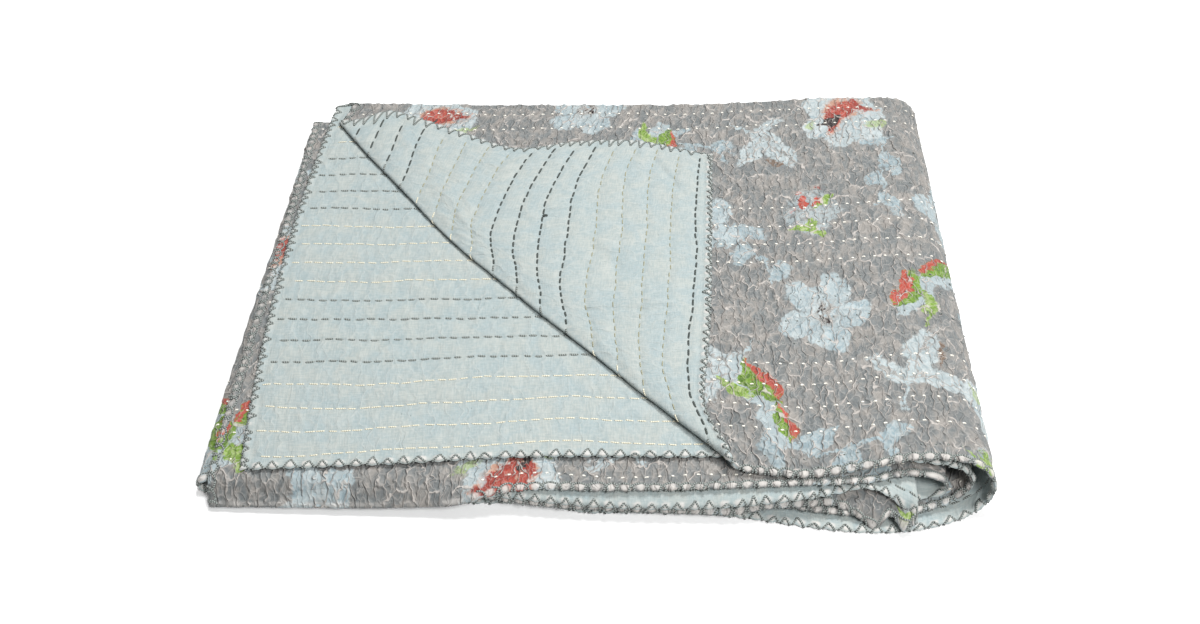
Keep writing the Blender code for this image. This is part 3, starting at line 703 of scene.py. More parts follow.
def cloth_piece(name, side, material):
    """One cloth on a grid of blocks, each cut as finely as what shows of it needs.

    Every corner of every face is marked on the grid of lines.  A face then runs round all the
    marked places on its four sides, so a coarse face beside a fine one shares its corners.
    """
    s_lines, t_lines = cell_lines(CELL[side])
    block_s, block_t = np.meshgrid(s_lines[BLOCK // 2::BLOCK], t_lines[BLOCK // 2::BLOCK], indexing="ij")
    steps = faces_per_side(block_s.ravel(), block_t.ravel(), side).reshape(block_s.shape)
    used = np.zeros((len(s_lines), len(t_lines)), bool)
    lows = {}
    for step in (1, 2, 4, 8):
        rows, columns = np.nonzero(steps == step)
        inner = np.arange(0, BLOCK, step)
        low_s, low_t = (a.ravel() for a in np.broadcast_arrays(
            BLOCK * rows[:, None, None] + inner[:, None], BLOCK * columns[:, None, None] + inner))
        lows[step] = low_s, low_t
        for add_s in (0, step):
            for add_t in (0, step):
                used[low_s + add_s, low_t + add_t] = True
    number = np.cumsum(used.ravel()).reshape(used.shape) - 1
    corners, counts = [], []
    for step, (low_s, low_t) in lows.items():
        up, full, zero = np.arange(step), np.full(step, step), np.zeros(step, int)
        ring_s = np.concatenate([up, full, step - up, zero])
        ring_t = np.concatenate([zero, up, full, step - up])
        if side < 0:
            ring_s, ring_t = ring_s[::-1], ring_t[::-1]
        at_s, at_t = low_s[:, None] + ring_s, low_t[:, None] + ring_t
        marked = used[at_s, at_t]
        corners.append(number[at_s, at_t][marked])
        counts.append(marked.sum(axis=1))
    at_s, at_t = np.nonzero(used)
    s, t = s_lines[at_s], t_lines[at_t]
    points = quilt_place(s, t, rise=side * face_height(s, t, side))
    maps = {"flat_cloth": np.stack([s, t], axis=1), "stitch_rows": row_map(s, t),
            "relief": np.stack([crumple(s, t, side), edge_relief(s, t)[0]], axis=1)}
    return make_piece(name, points, np.concatenate(corners), np.concatenate(counts), maps, material)


# ---------------------------------------------------------------- threads
THREAD_SIDES = 5
EDGE_THREAD = (0.00175, 0.00100)    # breadth and height of the thread over the edges
# Running stitches: (side, charcoal) -> (share of the pitch that shows, breadth, height)
RUNNING = {
    (PLAIN, True): (0.72, 0.00200, 0.00090),
    (PLAIN, False): (0.82, 0.00120, 0.00085),
    (PRINTED, True): (0.20, 0.00110, 0.00080),
    (PRINTED, False): (0.29, 0.00145, 0.00110),
}
RUNNING_GAP = 0.007                 # they keep this far in from the cut edges
START_UNEVEN, LENGTH_UNEVEN = 0.07, 0.16    # shares of the pitch and of a stitch's length
STRAY, SLANT = 0.0003, 0.0005       # how far a stitch lies off its row, and aslant of it
CORNER_TIGHT = 0.28                 # cream stitches are this much shorter on the turned corner
# A knot with four loose ends on the turned corner: its place, and the ends' turns and lengths
KNOT = (0.100, 0.139)
KNOT_TURNS = np.array([0.3, 1.2, 2.3, 3.9])[:, None]
KNOT_ENDS = np.array([0.0024, 0.0032, 0.0022, 0.0040])[:, None]
KNOT_RISE = 0.0008                  # they lie this much higher than the stitches
LINE_SHIFT = 0.0137                 # from the twist of one line of thread to the next one's
# Edge stitches
ROUND_EDGE = 0.16                   # share of each half of one that goes round the edge
OVER_EDGE = 0.36                    # where it crosses the edge, of the way between its holes
PAST_EDGE, ABOVE_EDGE = 0.0009, 0.0008      # how far it stands off the edge, outwards and upwards
USUAL_PITCH = 0.0117                # pitch at which one has its full depth
BITE_RANGE = (0.78, 1.1)            # least and greatest share of that depth
SHORT_EDGE_BITE = 1.45              # how much deeper they bite on the two short edges
# Share of the depth on each face, and how uneven it is; and how uneven the holes' places are
PLAIN_BITE, PRINTED_BITE = (0.80, 0.20), (0.90, 0.09)
HOLE_UNEVEN = 0.14
LEAST_INSET = 0.0025                # no hole is nearer than this to the end of an edge
THREAD_LIFT, THREAD_SINK = 0.00030, 0.00035     # height over the face, and drop at the hole
LEAST_RISE = 0.0003                 # a thread on a face stays this far off the middle surface


def thread_piece(name, lines, breadth, height, material, flat_to, turned=None):
    """Threads carried along many lines at once: an oval ring at each place of each line.

    ring = place + across * breadth / 2 * cos(angle) + up * height / 2 * sin(angle)

    where up is the cloth's own direction, given for each place, less its part along the line.
    Each end is closed.  lines and flat_to have the shape (lines, places, 3).  Lines on the
    turned corner are told apart by a second coordinate of 1 and more.
    """
    count, places = lines.shape[:2]
    run = unit(np.gradient(lines, axis=1))
    up = unit(flat_to - run * np.sum(flat_to * run, axis=2, keepdims=True))
    angle = 2 * math.pi * np.arange(THREAD_SIDES) / THREAD_SIDES
    ring = (np.cross(run, up)[:, :, None] * (breadth / 2 * np.cos(angle))[:, None]
            + up[:, :, None] * (height / 2 * np.sin(angle))[:, None])
    points = (lines[:, :, None] + ring).reshape(-1, 3)
    first = np.arange(count * places).reshape(count, places) * THREAD_SIDES
    low, side = first[:, :-1, None], np.arange(THREAD_SIDES)
    after = (side + 1) % THREAD_SIDES
    walls = np.stack([low + side, low + after, low + THREAD_SIDES + after,
                      low + THREAD_SIDES + side], axis=-1).reshape(-1)
    start_cap = (first[:, 0, None] + side[::-1]).reshape(-1)
    end_cap = (first[:, -1, None] + side).reshape(-1)
    counts = np.concatenate([np.full(count * (places - 1) * THREAD_SIDES, 4),
                             np.full(2 * count, THREAD_SIDES)])
    step = np.linalg.norm(np.diff(lines, axis=1), axis=2)
    length = np.concatenate([np.zeros((count, 1)), np.cumsum(step, axis=1)], axis=1)
    length = length + LINE_SHIFT * np.arange(count)[:, None]
    along_it = np.repeat(length.ravel(), THREAD_SIDES)
    round_it = np.tile(angle / (2 * math.pi), count * places)
    if turned is not None:
        round_it = round_it + np.repeat(turned, places * THREAD_SIDES)
    return make_piece(name, points, np.concatenate([walls, start_cap, end_cap]), counts,
                      {"along_thread": np.stack([along_it, round_it], axis=1)}, material)


def face_direction(s, t, side):
    """The way a face looks, at many flat places: the middle surface's normal times side."""
    normal = cloth_directions(s.ravel(), t.ravel())[2]
    return normal.reshape(s.shape + (3,)) * np.asarray(side)[..., None]


def charcoal_row(row, far):
    """Rows are sewn in fours, charcoal and cream by turns, counted in from either long edge."""
    return np.where(far, (row // 4) % 2 == 1, ((row + 3) // 4) % 2 == 0)


def running_stitches(side, charcoal):
    """Lines of the running stitches of one colour on one face, and the way the face looks.

    A stitch lies on its row.  It comes up out of the cloth, lies on it and goes down again:
    its height is thick * (0.75 * (1 - (2u - 1)^4) - 0.45), u being the share of its length.
    """
    share, _, thick = RUNNING[side, charcoal]
    number = np.arange(-2, math.ceil(LENGTH / STITCH_PITCH) + 2)
    row, far, number = (a.ravel() for a in np.meshgrid(
        np.arange(ROWS), np.array([False, True]), number, indexing="ij"))
    keep = charcoal_row(row, far) == charcoal
    row, far, number = row[keep], far[keep], number[keep]
    uneven = np.random.default_rng(61 + charcoal).uniform(-1.0, 1.0, (4, len(row)))
    begin = number + ROW_SHIFT * row % 1.0 + 0.5 * far + START_UNEVEN * uneven[0]
    if side > 0:
        begin = begin - (1.0 - RUNNING[PLAIN, charcoal][0]) / 2 - share / 2
    first = ROW_START + STITCH_PITCH * begin
    tight = 0.0 if charcoal else CORNER_TIGHT * on_turned_corner(first, row_line(row, far, first))
    reach = share * (1.0 + LENGTH_UNEVEN * uneven[1]) * (1.0 - tight)
    u = np.linspace(0.0, 1.0, 4 if side > 0 else 6)
    s = ROW_START + STITCH_PITCH * (begin[:, None] + reach[:, None] * u)
    stray = STRAY * uneven[2][:, None] + SLANT * uneven[3][:, None] * (u - 0.5)
    t = row_line(row[:, None], far[:, None], s) + stray
    middle_s, middle_t = s.mean(axis=1), t.mean(axis=1)
    shown = (s.min(axis=1) > RUNNING_GAP) & (s.max(axis=1) < LENGTH - RUNNING_GAP)
    shown &= within(middle_t, RUNNING_GAP, WIDTH - RUNNING_GAP)
    shown &= seen(middle_s, middle_t, side) & ~((side > 0) & far & (row == 0) & (middle_s > HEM_START))
    s, t = s[shown], t[shown]
    lift = np.broadcast_to(thick * (0.75 * (1.0 - (2.0 * u - 1.0) ** 4) - 0.45), s.shape)
    if side < 0 and charcoal:
        end = KNOT_ENDS * (u - 0.4)
        s = np.concatenate([s, KNOT[0] + end * np.cos(KNOT_TURNS + u)])
        t = np.concatenate([t, KNOT[1] + end * np.sin(KNOT_TURNS + u)])
        lift = np.concatenate([lift, lift[:len(end)] + KNOT_RISE])
    lines = quilt_place(s, t, rise=side * (face_height(s, t, side) + lift))
    return lines, face_direction(s, t, side), on_turned_corner(s, t).mean(axis=1) > 0.5


def edge_stitches():
    """Lines of the criss-cross stitches over all four cut edges, and the way each place looks.

    Between two neighbouring holes, one thread goes from the first hole on the plain face over
    the edge to the second hole on the printed face, and another the other way about.  On the
    plain face it lies straight.  On the printed face it bends round the bulge below its hole,
    as a quarter of an ellipse.  Round the edge it follows a half circle.
    """
    u = np.linspace(-1.0, 1.0, 15)
    half_turn = np.clip(u / ROUND_EDGE, -1.0, 1.0) * math.pi / 2
    inwards = np.clip((np.abs(u) - ROUND_EDGE) / (1.0 - ROUND_EDGE), 0.0, 1.0)
    bend = inwards * math.pi / 2
    way = np.where(u < 0, OVER_EDGE * (1.0 - inwards), 1.0 - (1.0 - OVER_EDGE) * np.cos(bend))
    deep = np.where(u < 0, inwards, np.sin(bend))
    lift = THREAD_LIFT - THREAD_SINK * smooth_step((inwards - 0.88) / 0.12)
    chance = np.random.default_rng(71)
    lines, looks = [], []
    for along_length, holes in ((True, LONG_EDGE_HOLES), (False, CROSS_EDGE_HOLES)):
        for far_side, even in enumerate(holes):
            straying = chance.normal(0.0, 1.0, (3, len(even)))
            pitch = np.gradient(even)
            hole = np.clip(even + HOLE_UNEVEN * straying[0] * pitch, LEAST_INSET, even[-1] - LEAST_INSET)
            bite = EDGE_DEPTH * np.clip(pitch / USUAL_PITCH, *BITE_RANGE)
            bite = bite * (1.0 if along_length else SHORT_EDGE_BITE)
            plain_depth, printed_depth = (
                bite * share * (1.0 + uneven * chance_row)
                for (share, uneven), chance_row in zip((PLAIN_BITE, PRINTED_BITE), straying[1:]))
            for start, end in ((slice(None, -1), slice(1, None)), (slice(1, None), slice(None, -1))):
                ends = [hole[start], hole[end], plain_depth[start], printed_depth[end]]
                if along_length and far_side:
                    ends = [a[ends[0] < HEM_START] for a in ends]
                first, last, first_depth, last_depth = (a[:, None] for a in ends)
                place = mix(first, last, way)
                inside = np.where(u < 0, first_depth, last_depth) * deep
                across_edge = (WIDTH if along_length else LENGTH) - inside if far_side else inside
                s, t = (place, across_edge) if along_length else (across_edge, place)
                side = np.where(u < 0, PLAIN, PRINTED) * np.ones_like(place)
                on_face = lift + np.where(u < 0, face_height(s, t, PLAIN), face_height(s, t, PRINTED))
                rise = np.where(inwards > 0, side * np.maximum(on_face, LEAST_RISE),
                                ABOVE_EDGE * np.sin(half_turn))
                lines.append(quilt_place(s, t, rise=rise, outwards=PAST_EDGE * np.cos(half_turn)))
                looks.append(face_direction(s, t, side) * np.abs(np.sin(half_turn))[None, :, None])
    lines, looks = np.concatenate(lines), np.concatenate(looks)
    middle = len(u) // 2
    outward = unit(2 * lines[:, middle] - lines[:, middle - 3] - lines[:, middle + 3])
    return lines, looks + outward[:, None] * np.cos(half_turn)[None, :, None]


# ---------------------------------------------------------------- materials: tools
def colour(code):
    """Scene colour of a six-figure hex code."""
    values = np.array([int(code[k:k + 2], 16) for k in (0, 2, 4)]) / 255.0
    linear = np.where(values <= 0.04045, values / 12.92, ((values + 0.055) / 1.055) ** 2.4)
    return (*linear.tolist(), 1.0)


def operation(name, swapped=False):
    """A method that adds a Math node, with its own value as the first input or as the last."""
    def act(self, *others):
        return self.nodes.math(name, *((*others, self) if swapped else (self, *others)))
    return act


class Value:
    """A node's output.  Each sum with it adds a Math node to its tree."""

    def __init__(self, nodes, socket):
        self.nodes, self.socket = nodes, socket

    __add__, __mul__, __sub__, __truediv__ = map(operation, ("ADD", "MULTIPLY", "SUBTRACT", "DIVIDE"))
    __rsub__, __rtruediv__ = operation("SUBTRACT", swapped=True), operation("DIVIDE", swapped=True)
    __pow__, __mod__, __abs__ = map(operation, ("POWER", "FLOORED_MODULO", "ABSOLUTE"))
    __lt__, __gt__ = map(operation, ("LESS_THAN", "GREATER_THAN"))
    times_plus, maximum, minimum, angle_with, sine, cosine, fraction, floor = map(operation, (
        "MULTIPLY_ADD", "MAXIMUM", "MINIMUM", "ARCTAN2", "SINE", "COSINE", "FRACT", "FLOOR"))

    def step(self, low, high):
        """0 below low, 1 above high and smooth between; low may be the higher one."""
        inputs = {"Value": self, "From Min": low, "From Max": high}
        return self.nodes.add("ShaderNodeMapRange", inputs, interpolation_type="SMOOTHSTEP")[0]


class Nodes:
    """Adds nodes to a tree.  An input is a number, a vector, a colour or a Value."""

    def __init__(self, tree):
        self.tree = tree

    def feed(self, node, inputs):
        """Give a node its inputs, by name or number."""
        for name, value in inputs.items():
            if isinstance(value, Value):
                self.tree.links.new(value.socket, node.inputs[name])
            else:
                node.inputs[name].default_value = value

    def add(self, kind, inputs, **settings):
        """A new node: the list of its outputs."""
        node = self.tree.nodes.new(kind)
        for name, value in settings.items():
            setattr(node, name, value)
        self.feed(node, inputs)
        return [Value(self, socket) for socket in node.outputs]

    def math(self, operation_name, *values):
        return self.add("ShaderNodeMath", dict(enumerate(values)), operation=operation_name)[0]

    def vector(self, operation_name, *values):
        return self.add("ShaderNodeVectorMath", dict(enumerate(values)), operation=operation_name)[0]

    def length(self, place):
        return self.add("ShaderNodeVectorMath", {0: place}, operation="LENGTH")[1]

    def scaled(self, place, size):
        return self.add("ShaderNodeVectorMath", {"Vector": place, "Scale": size}, operation="SCALE")[0]

    def turned(self, place, angle):
        return self.add("ShaderNodeVectorRotate", {"Vector": place, "Angle": angle},
                        rotation_type="Z_AXIS")[0]

    def blend(self, share, first, second, way="MIX"):
        """Between two colours."""
        return self.add("ShaderNodeMix", {0: share, 6: first, 7: second}, data_type="RGBA",
                        blend_type=way, clamp_factor=True)[2]

    def choose(self, share, first, second):
        """Between two places."""
        return self.add("ShaderNodeMix", {0: share, 4: first, 5: second}, data_type="VECTOR",
                        clamp_factor=True)[1]

    def noise(self, place, scale, detail=2.0, roughness=0.5, warp=0.0):
        """(noise from 0 to 1, noise in three directions)."""
        return self.add("ShaderNodeTexNoise", {"Vector": place, "Scale": scale, "Detail": detail,
                                               "Roughness": roughness, "Distortion": warp})[:2]

    def split(self, place):
        return self.add("ShaderNodeSeparateXYZ", {"Vector": place})

    def join(self, x, y, z=0.0):
        return self.add("ShaderNodeCombineXYZ", {"X": x, "Y": y, "Z": z})[0]

    def surface_map(self, name):
        return self.add("ShaderNodeUVMap", {}, uv_map=name)[0]

    def use(self, group, **inputs):
        """The outputs of a group placed in the tree."""
        return self.add("ShaderNodeGroup", inputs, node_tree=group)

    def bump(self, height, distance, strength=1.0):
        return self.add("ShaderNodeBump", {"Height": height, "Distance": distance, "Strength": strength})[0]


def node_group(name, **inputs):
    """Make a shader node group of a function from the inputs' values to the outputs' names and values.

    An input that has no default, and any output named Place, is a vector; the rest are values.
    """
    def make(build):
        tree = bpy.data.node_groups.new(name, "ShaderNodeTree")
        for label, default in inputs.items():
            kind = "NodeSocketVector" if default is None else "NodeSocketFloat"
            socket = tree.interface.new_socket(label, in_out="INPUT", socket_type=kind)
            if default is not None:
                socket.default_value = default
        nodes = Nodes(tree)
        outputs = build(nodes, *nodes.add("NodeGroupInput", {})[:len(inputs)])
        for label in outputs:
            kind = "NodeSocketVector" if label == "Place" else "NodeSocketFloat"
            tree.interface.new_socket(label, in_out="OUTPUT", socket_type=kind)
        nodes.add("NodeGroupOutput", outputs)
        return tree
    return make


COTTON_SPECULAR = 0.25


def new_material(name, sheen=0.0, sheen_roughness=0.5):
    """A material with a Principled shader: (tree tools, the shader, the material)."""
    material = bpy.data.materials.new(name)
    material.use_nodes = True
    nodes = Nodes(material.node_tree)
    shader = material.node_tree.nodes["Principled BSDF"]
    nodes.feed(shader, {"Specular IOR Level": COTTON_SPECULAR, "Sheen Weight": sheen,
                        "Sheen Roughness": sheen_roughness})
    return nodes, shader, material


# ---------------------------------------------------------------- materials: shared effects
@node_group("cotton_weave", Place=None, Threads_per_metre=1500.0)
def cotton_weave(n, place, threads):
    """Plain weave: two sets of threads cross, each over and under the other by turns.

    height = 0.5 + 0.5 * sin(x * threads * pi) * sin(y * threads * pi), and the slubs are noise
    drawn out along each set.
    """
    uneven = n.noise(place, 55.0)[1]
    x, y, _ = n.split(n.vector("MULTIPLY_ADD", uneven, (0.0012, 0.0012, 0.0), place))
    turn = threads * math.pi
    over = (x * turn).sine() * (y * turn).sine()
    height = over.times_plus(0.5, 0.5)
    streak_x, streak_y = (n.noise(n.vector("MULTIPLY", place, drawn_out), 900.0, detail=1.0)[0]
                          for drawn_out in ((0.12, 1.0, 1.0), (1.0, 0.12, 1.0)))
    return {"Height": height, "Slub": (streak_x + streak_y) * 0.5}


@node_group("cotton_crinkle", Place=None, Size=0.010)
def cotton_crinkle(n, place, size):
    """Creases of washed cotton: veins along the borders of two sets of bent cells.

    The first set's cells are long and lie across the stitch rows, and its veins are broken into
    short lengths; the second set is finer and fainter.  vein = 1 - smooth step of the distance
    to the border, and the height rises gently towards each vein.
    """
    place = n.scaled(place, 1.0 / size)
    bent = n.vector("MULTIPLY_ADD", n.noise(place, 1.3, detail=1.0)[1], (1.0, 1.0, 0.0), place)
    long_cells = n.vector("MULTIPLY", bent, (1.10, 0.36, 0.0))
    small_cells = n.vector("MULTIPLY_ADD", bent, (1.9, 1.0, 0.0), (31.0, 17.0, 0.0))
    first_off, second_off = (
        n.add("ShaderNodeTexVoronoi", {"Vector": cells, "Scale": 1.0}, feature="DISTANCE_TO_EDGE",
              voronoi_dimensions="2D")[0] for cells in (long_cells, small_cells))
    broken = n.noise(place, 0.60, detail=1.0)[0].step(0.38, 0.53)
    main = first_off.step(0.060, 0.014) * broken
    veins = main.maximum(second_off.step(0.066, 0.012) * 0.32)
    crest = first_off.step(0.22, 0.0) * 0.46 + second_off.step(0.24, 0.0) * 0.22
    return {"Veins": veins, "Height": main.times_plus(0.30, crest)}


@node_group("stitch_dimples", Rows=None, Sharpness=9.0)
def stitch_dimples(n, rows, sharpness):
    """Where the stitch rows pull the cloth down, from the row count carried by each piece."""
    row, phase, _ = n.split(rows)
    off = abs((row + 0.5).fraction() - 0.5)
    near_row = (1.0 - (off * 2.0).minimum(1.0)) ** sharpness
    return {"Pull": near_row * (phase * (2 * math.pi)).cosine().times_plus(0.5, 0.5)}


@node_group("motif_place", Place=None, Middle=None, Repeat=None, Turn=0.0, Size=0.03, Number=0.0)
def motif_place(n, place, middle, repeat, turn, size, number):
    """Place on a repeating motif: from its middle, turned, and in units of its size.

    The motif's number is put in the third direction, so no two have the same brush marks.
    """
    half, low = n.scaled(repeat, 0.5), n.scaled(repeat, -0.5)
    wrapped = n.vector("WRAP", n.vector("SUBTRACT", place, middle), half, low)
    x, y, _ = n.split(n.scaled(n.turned(wrapped, turn), 1.0 / size))
    flat = n.join(x, y)
    return {"Place": n.join(x, y, number), "Radius": n.length(flat)}


@node_group("petals", Radius=0.0, Angle=0.0, Count=5.0, Depth=0.3, Softness=0.06)
def petal_ring(n, radius, angle, count, depth, softness):
    """Ring of petals: radius of the outline = 1 - depth * (1 - |cos(count / 2 * angle)|)."""
    lobe = abs((angle * (count * 0.5)).cosine())
    outline = 1.0 - depth * (1.0 - lobe)
    petals = ((outline - radius) / softness).step(-0.5, 0.5)
    return {"Petals": petals, "Between": lobe.step(0.22, 0.0) * radius.step(0.25, 0.6)}


@node_group("leaf", Place=None, Breadth=0.35, Bend=0.0, Softness=0.07)
def leaf_shape(n, place, breadth, bend, softness):
    """Pointed leaf along x from -1 to 1: |y| < breadth * (1 - x^2), bent by bend * x^2."""
    x, y, _ = n.split(place)
    square = x * x
    bent = y - bend * square
    inside = (breadth * (1.0 - square) - abs(bent)) / softness
    midrib = abs(bent).step(0.05, 0.02)
    return {"Leaf": inside.step(-0.5, 0.5), "Side": bent / breadth, "Midrib": midrib}


# ---------------------------------------------------------------- the print: an own floral repeat
REPEAT = (0.412, 0.436, 1.0)        # in s and in t
GROUND, GROUND_WARM, GROUND_VEIN = map(colour, ("737879", "94908B", "BAB4AE"))
PALE_BLUE, PALE_BLUE_SHADE, WHITE_BLUE = map(colour, ("A5B2B5", "8FA2A9", "B6BFC0"))
POPPY_RED, POPPY_DEEP, TAN = map(colour, ("AD4B3E", "903328", "B88E7A"))
LEAF_GREEN, LEAF_LIGHT, LEAF_DEEP = map(colour, ("6F912F", "9CB06F", "4D6F21"))
# The third is the edge bulges' pale colour, partly wear and partly painted highlight
BARK, CENTRE_DARK, BEAD_WEAR_AND_HIGHLIGHT = map(colour, ("746356", "251B1D", "C9C5C0"))
# Painted shade for the crinkle's hollows, then the slubs' darker tone
HOLLOW_PAINTED_SHADE, SLUB_SHADE = (0.46, 0.48, 0.49, 1.0), (0.58, 0.59, 0.60, 1.0)
# The plain cloth's colours
PLAIN_GREY, PLAIN_BLUE, PLAIN_LIGHT = map(colour, ("A6ACA8", "98A6A8", "B2B6B3"))
PLAIN_SHADE, PLAIN_CREST_PALE, FLECK = map(colour, ("8B999A", "B8BBB6", "525C5B"))

# Motifs of one repeat: middle in s, middle in t, turn in degrees, size
SPRIGS = [(0.060, 0.018, 20, 0.054), (0.000, 0.222, 75, 0.050), (0.225, 0.175, 155, 0.056),
          (0.350, 0.345, 35, 0.052), (0.130, 0.300, 110, 0.048)]
PALE_LEAVES = [(0.130, 0.085, 10, 0.041), (0.290, 0.255, -65, 0.039), (0.022, 0.345, 120, 0.038),
               (0.395, 0.085, 200, 0.040)]
BLOSSOMS = [(0.062, 0.145, 10, 0.038), (0.190, 0.262, 40, 0.038), (0.290, 0.045, 75, 0.036),
            (0.372, 0.240, 25, 0.037), (0.248, 0.395, 60, 0.038)]
POPPIES = [(0.205, 0.062, 15, 0.042), (0.098, 0.372, -25, 0.041), (0.330, 0.150, 160, 0.041)]
BUDS = [(0.150, 0.175, -52, 0.043), (0.322, 0.330, 115, 0.041), (0.012, 0.060, 60, 0.040)]
BERRIES = [(0.262, 0.115, 30, 0.034), (0.060, 0.255, -60, 0.035), (0.175, 0.428, 100, 0.033)]
NUMBER_STEP = 3.7                   # from one motif's brush marks to the next one's
SPOT_CORE = 0.36                    # radius of a spot's full colour, in cells
BRUSH_STRAY, DRIFT_STRAY = 0.0150, 0.0260   # how far the print's outlines stray, finely and slowly


def nearest(n, place, table):
    """Place on the nearest of several like motifs, and distance from its middle."""
    for number, (middle_s, middle_t, turn, size) in enumerate(table):
        here, radius = n.use(motif_place, Place=place, Middle=(middle_s, middle_t, 0.0), Repeat=REPEAT,
                             Turn=math.radians(turn), Size=size, Number=NUMBER_STEP * number)
        if number == 0:
            best_place, best_radius = here, radius
            continue
        best_place = n.choose(radius < best_radius, best_place, here)
        best_radius = best_radius.minimum(radius)
    return best_place, best_radius


def petals_on(n, here, radius, count, depth, softness):
    """(inside the ring of petals, between two petals) round a motif's middle."""
    x, y, _ = n.split(here)
    return n.use(petal_ring, Radius=radius, Angle=y.angle_with(x), Count=count, Depth=depth,
                 Softness=softness)


def oval(n, place, middle, reach, soft=0.2):
    """1 inside an oval round a middle, falling to 0 across its soft rim."""
    scale = tuple(1.0 / size for size in reach) + (0.0,)
    shift = tuple(-m / size for m, size in zip(middle, reach)) + (0.0,)
    return n.length(n.vector("MULTIPLY_ADD", place, scale, shift)).step(1.0 + soft / 2, 1.0 - soft / 2)


def leaf(n, place, middle, reach, turn, breadth, bend=0.0, soft=0.09):
    """A leaf on a motif: (inside it, across it, on its midrib).

    It is given by its middle, half length, turn in degrees, breadth and bend.
    """
    off = n.turned(n.vector("SUBTRACT", place, (*middle, 0.0)), math.radians(-turn))
    return n.use(leaf_shape, Place=n.scaled(off, 1.0 / reach), Breadth=breadth, Bend=bend, Softness=soft)


def spots(n, place, scale, reach, **inputs):
    """1 on round spots scattered over a motif, falling to 0 at their reach."""
    off = n.add("ShaderNodeTexVoronoi", {"Vector": place, "Scale": scale, **inputs}, feature="F1")[0]
    return off.step(reach, SPOT_CORE)


def paint_sprigs(n, paint, place, fine):
    """Thin pale stem with small leaves by turns on either side."""
    here, _ = nearest(n, place, SPRIGS)
    x, y, _ = n.split(here)
    stem_y = y - (x * 2.6).sine() * 0.16
    drawn = abs(x).step(1.0, 0.92) * fine.step(0.30, 0.42)
    stem = abs(stem_y).step(0.040, 0.018) * drawn
    count = x * 1.9
    side = (count.floor() % 2.0) * 2.0 - 1.0
    local_x = (count.fraction() - 0.5) * 2.2
    local_y = stem_y * side - local_x.times_plus(0.12, 0.20)
    blade = n.use(leaf_shape, Place=n.join(local_x, local_y * 1.7), Breadth=0.36, Bend=0.12, Softness=0.10)[0]
    mask = stem.maximum(blade * drawn * 0.92)
    return n.blend(mask, paint, n.blend(fine.step(0.42, 0.60), PALE_BLUE, PALE_BLUE_SHADE))


def paint_pale_leaves(n, paint, place, fine):
    """Broad pale leaves on one stalk, each with a grey midrib, and a brown mark."""
    here, _ = nearest(n, place, PALE_LEAVES)
    body = n.blend(fine.step(0.40, 0.62), PALE_BLUE, WHITE_BLUE)
    solid = fine.step(0.24, 0.34)
    for middle, reach, turn, breadth in (((0.10, 0.28), 0.82, 72, 0.36), ((0.48, -0.18), 0.60, -8, 0.40),
                                         ((-0.42, -0.20), 0.62, 158, 0.24)):
        blade, _, midrib = leaf(n, here, middle, reach, turn, breadth, bend=-0.12)
        ribbed = n.blend(midrib * 0.75, body, GROUND_WARM)
        paint = n.blend(blade * solid, paint, ribbed)
    stalk = leaf(n, here, (-0.10, -0.66), 0.42, 80, 0.10, bend=0.15, soft=0.06)[0]
    paint = n.blend(stalk * solid, paint, PALE_BLUE)
    mark = leaf(n, here, (0.52, 0.50), 0.34, 100, 0.20, bend=0.2, soft=0.08)[0]
    return n.blend(mark * fine.step(0.38, 0.48), paint, BARK)


def paint_blossoms(n, paint, place, fine):
    """Open pale flower with a grey throat and a few dark specks round its middle."""
    here, radius = nearest(n, place, BLOSSOMS)
    petals, gap = petals_on(n, here, radius, 5.0, 0.34, 0.07)
    drawn_out = n.vector("MULTIPLY_ADD", here, (0.9, 0.9, 1.0), (5.0, 0.0, 0.0))
    streak = n.noise(drawn_out, 3.4, detail=4.0, roughness=0.65, warp=1.2)[0]
    body = n.blend(streak.step(0.40, 0.60), PALE_BLUE_SHADE, WHITE_BLUE)
    body = n.blend(fine.step(0.36, 0.60), body, PALE_BLUE)
    body = n.blend(gap * fine.step(0.62, 0.42), body, GROUND)
    paint = n.blend(petals * streak.step(0.27, 0.33), paint, body)
    throat = radius.step(0.44, 0.18) * fine.step(0.38, 0.52)
    paint = n.blend(throat * 0.85, paint, GROUND_WARM)
    ring = radius.step(0.04, 0.08) * radius.step(0.28, 0.24)
    return n.blend(spots(n, here, 7.0, 0.46) * ring, paint, CENTRE_DARK)


def paint_poppies(n, paint, place, fine):
    """Wide ruffled bloom: pale petals, a red arch with a tan edge, and a dark heart at one end."""
    here, radius = nearest(n, place, POPPIES)
    petals, gap = petals_on(n, here, radius, 6.0, 0.17, 0.06)
    streak = n.noise(here, 2.6, detail=4.0, roughness=0.65, warp=1.0)[0]
    body = n.blend(streak.step(0.38, 0.62), PALE_BLUE, WHITE_BLUE)
    body = n.blend(gap * fine.step(0.60, 0.44), body, PALE_BLUE_SHADE)
    paint = n.blend(petals * streak.step(0.24, 0.29), paint, body)
    dry = fine.step(0.33, 0.46)
    lime = oval(n, here, (-0.74, 0.10), (0.13, 0.17), 0.5).maximum(
        oval(n, here, (0.60, -0.52), (0.26, 0.12), 0.5))
    paint = n.blend(lime * dry * 0.75, paint, LEAF_LIGHT)
    fringe = leaf(n, here, (0.10, 0.22), 0.78, 14, 0.62, bend=-0.62, soft=0.16)[0]
    paint = n.blend(fringe * streak.step(0.38, 0.50), paint, TAN)
    arch = leaf(n, here, (0.04, 0.22), 0.68, 14, 0.50, bend=-0.70, soft=0.12)[0]
    red = n.blend(streak.step(0.46, 0.60), POPPY_DEEP, POPPY_RED)
    paint = n.blend(arch * fine.step(0.30, 0.42), paint, red)
    heart = oval(n, here, (-0.34, -0.06), (0.24, 0.13)).maximum(oval(n, here, (-0.08, 0.06), (0.12, 0.06)))
    return n.blend(heart * fine.step(0.26, 0.36), paint, CENTRE_DARK)


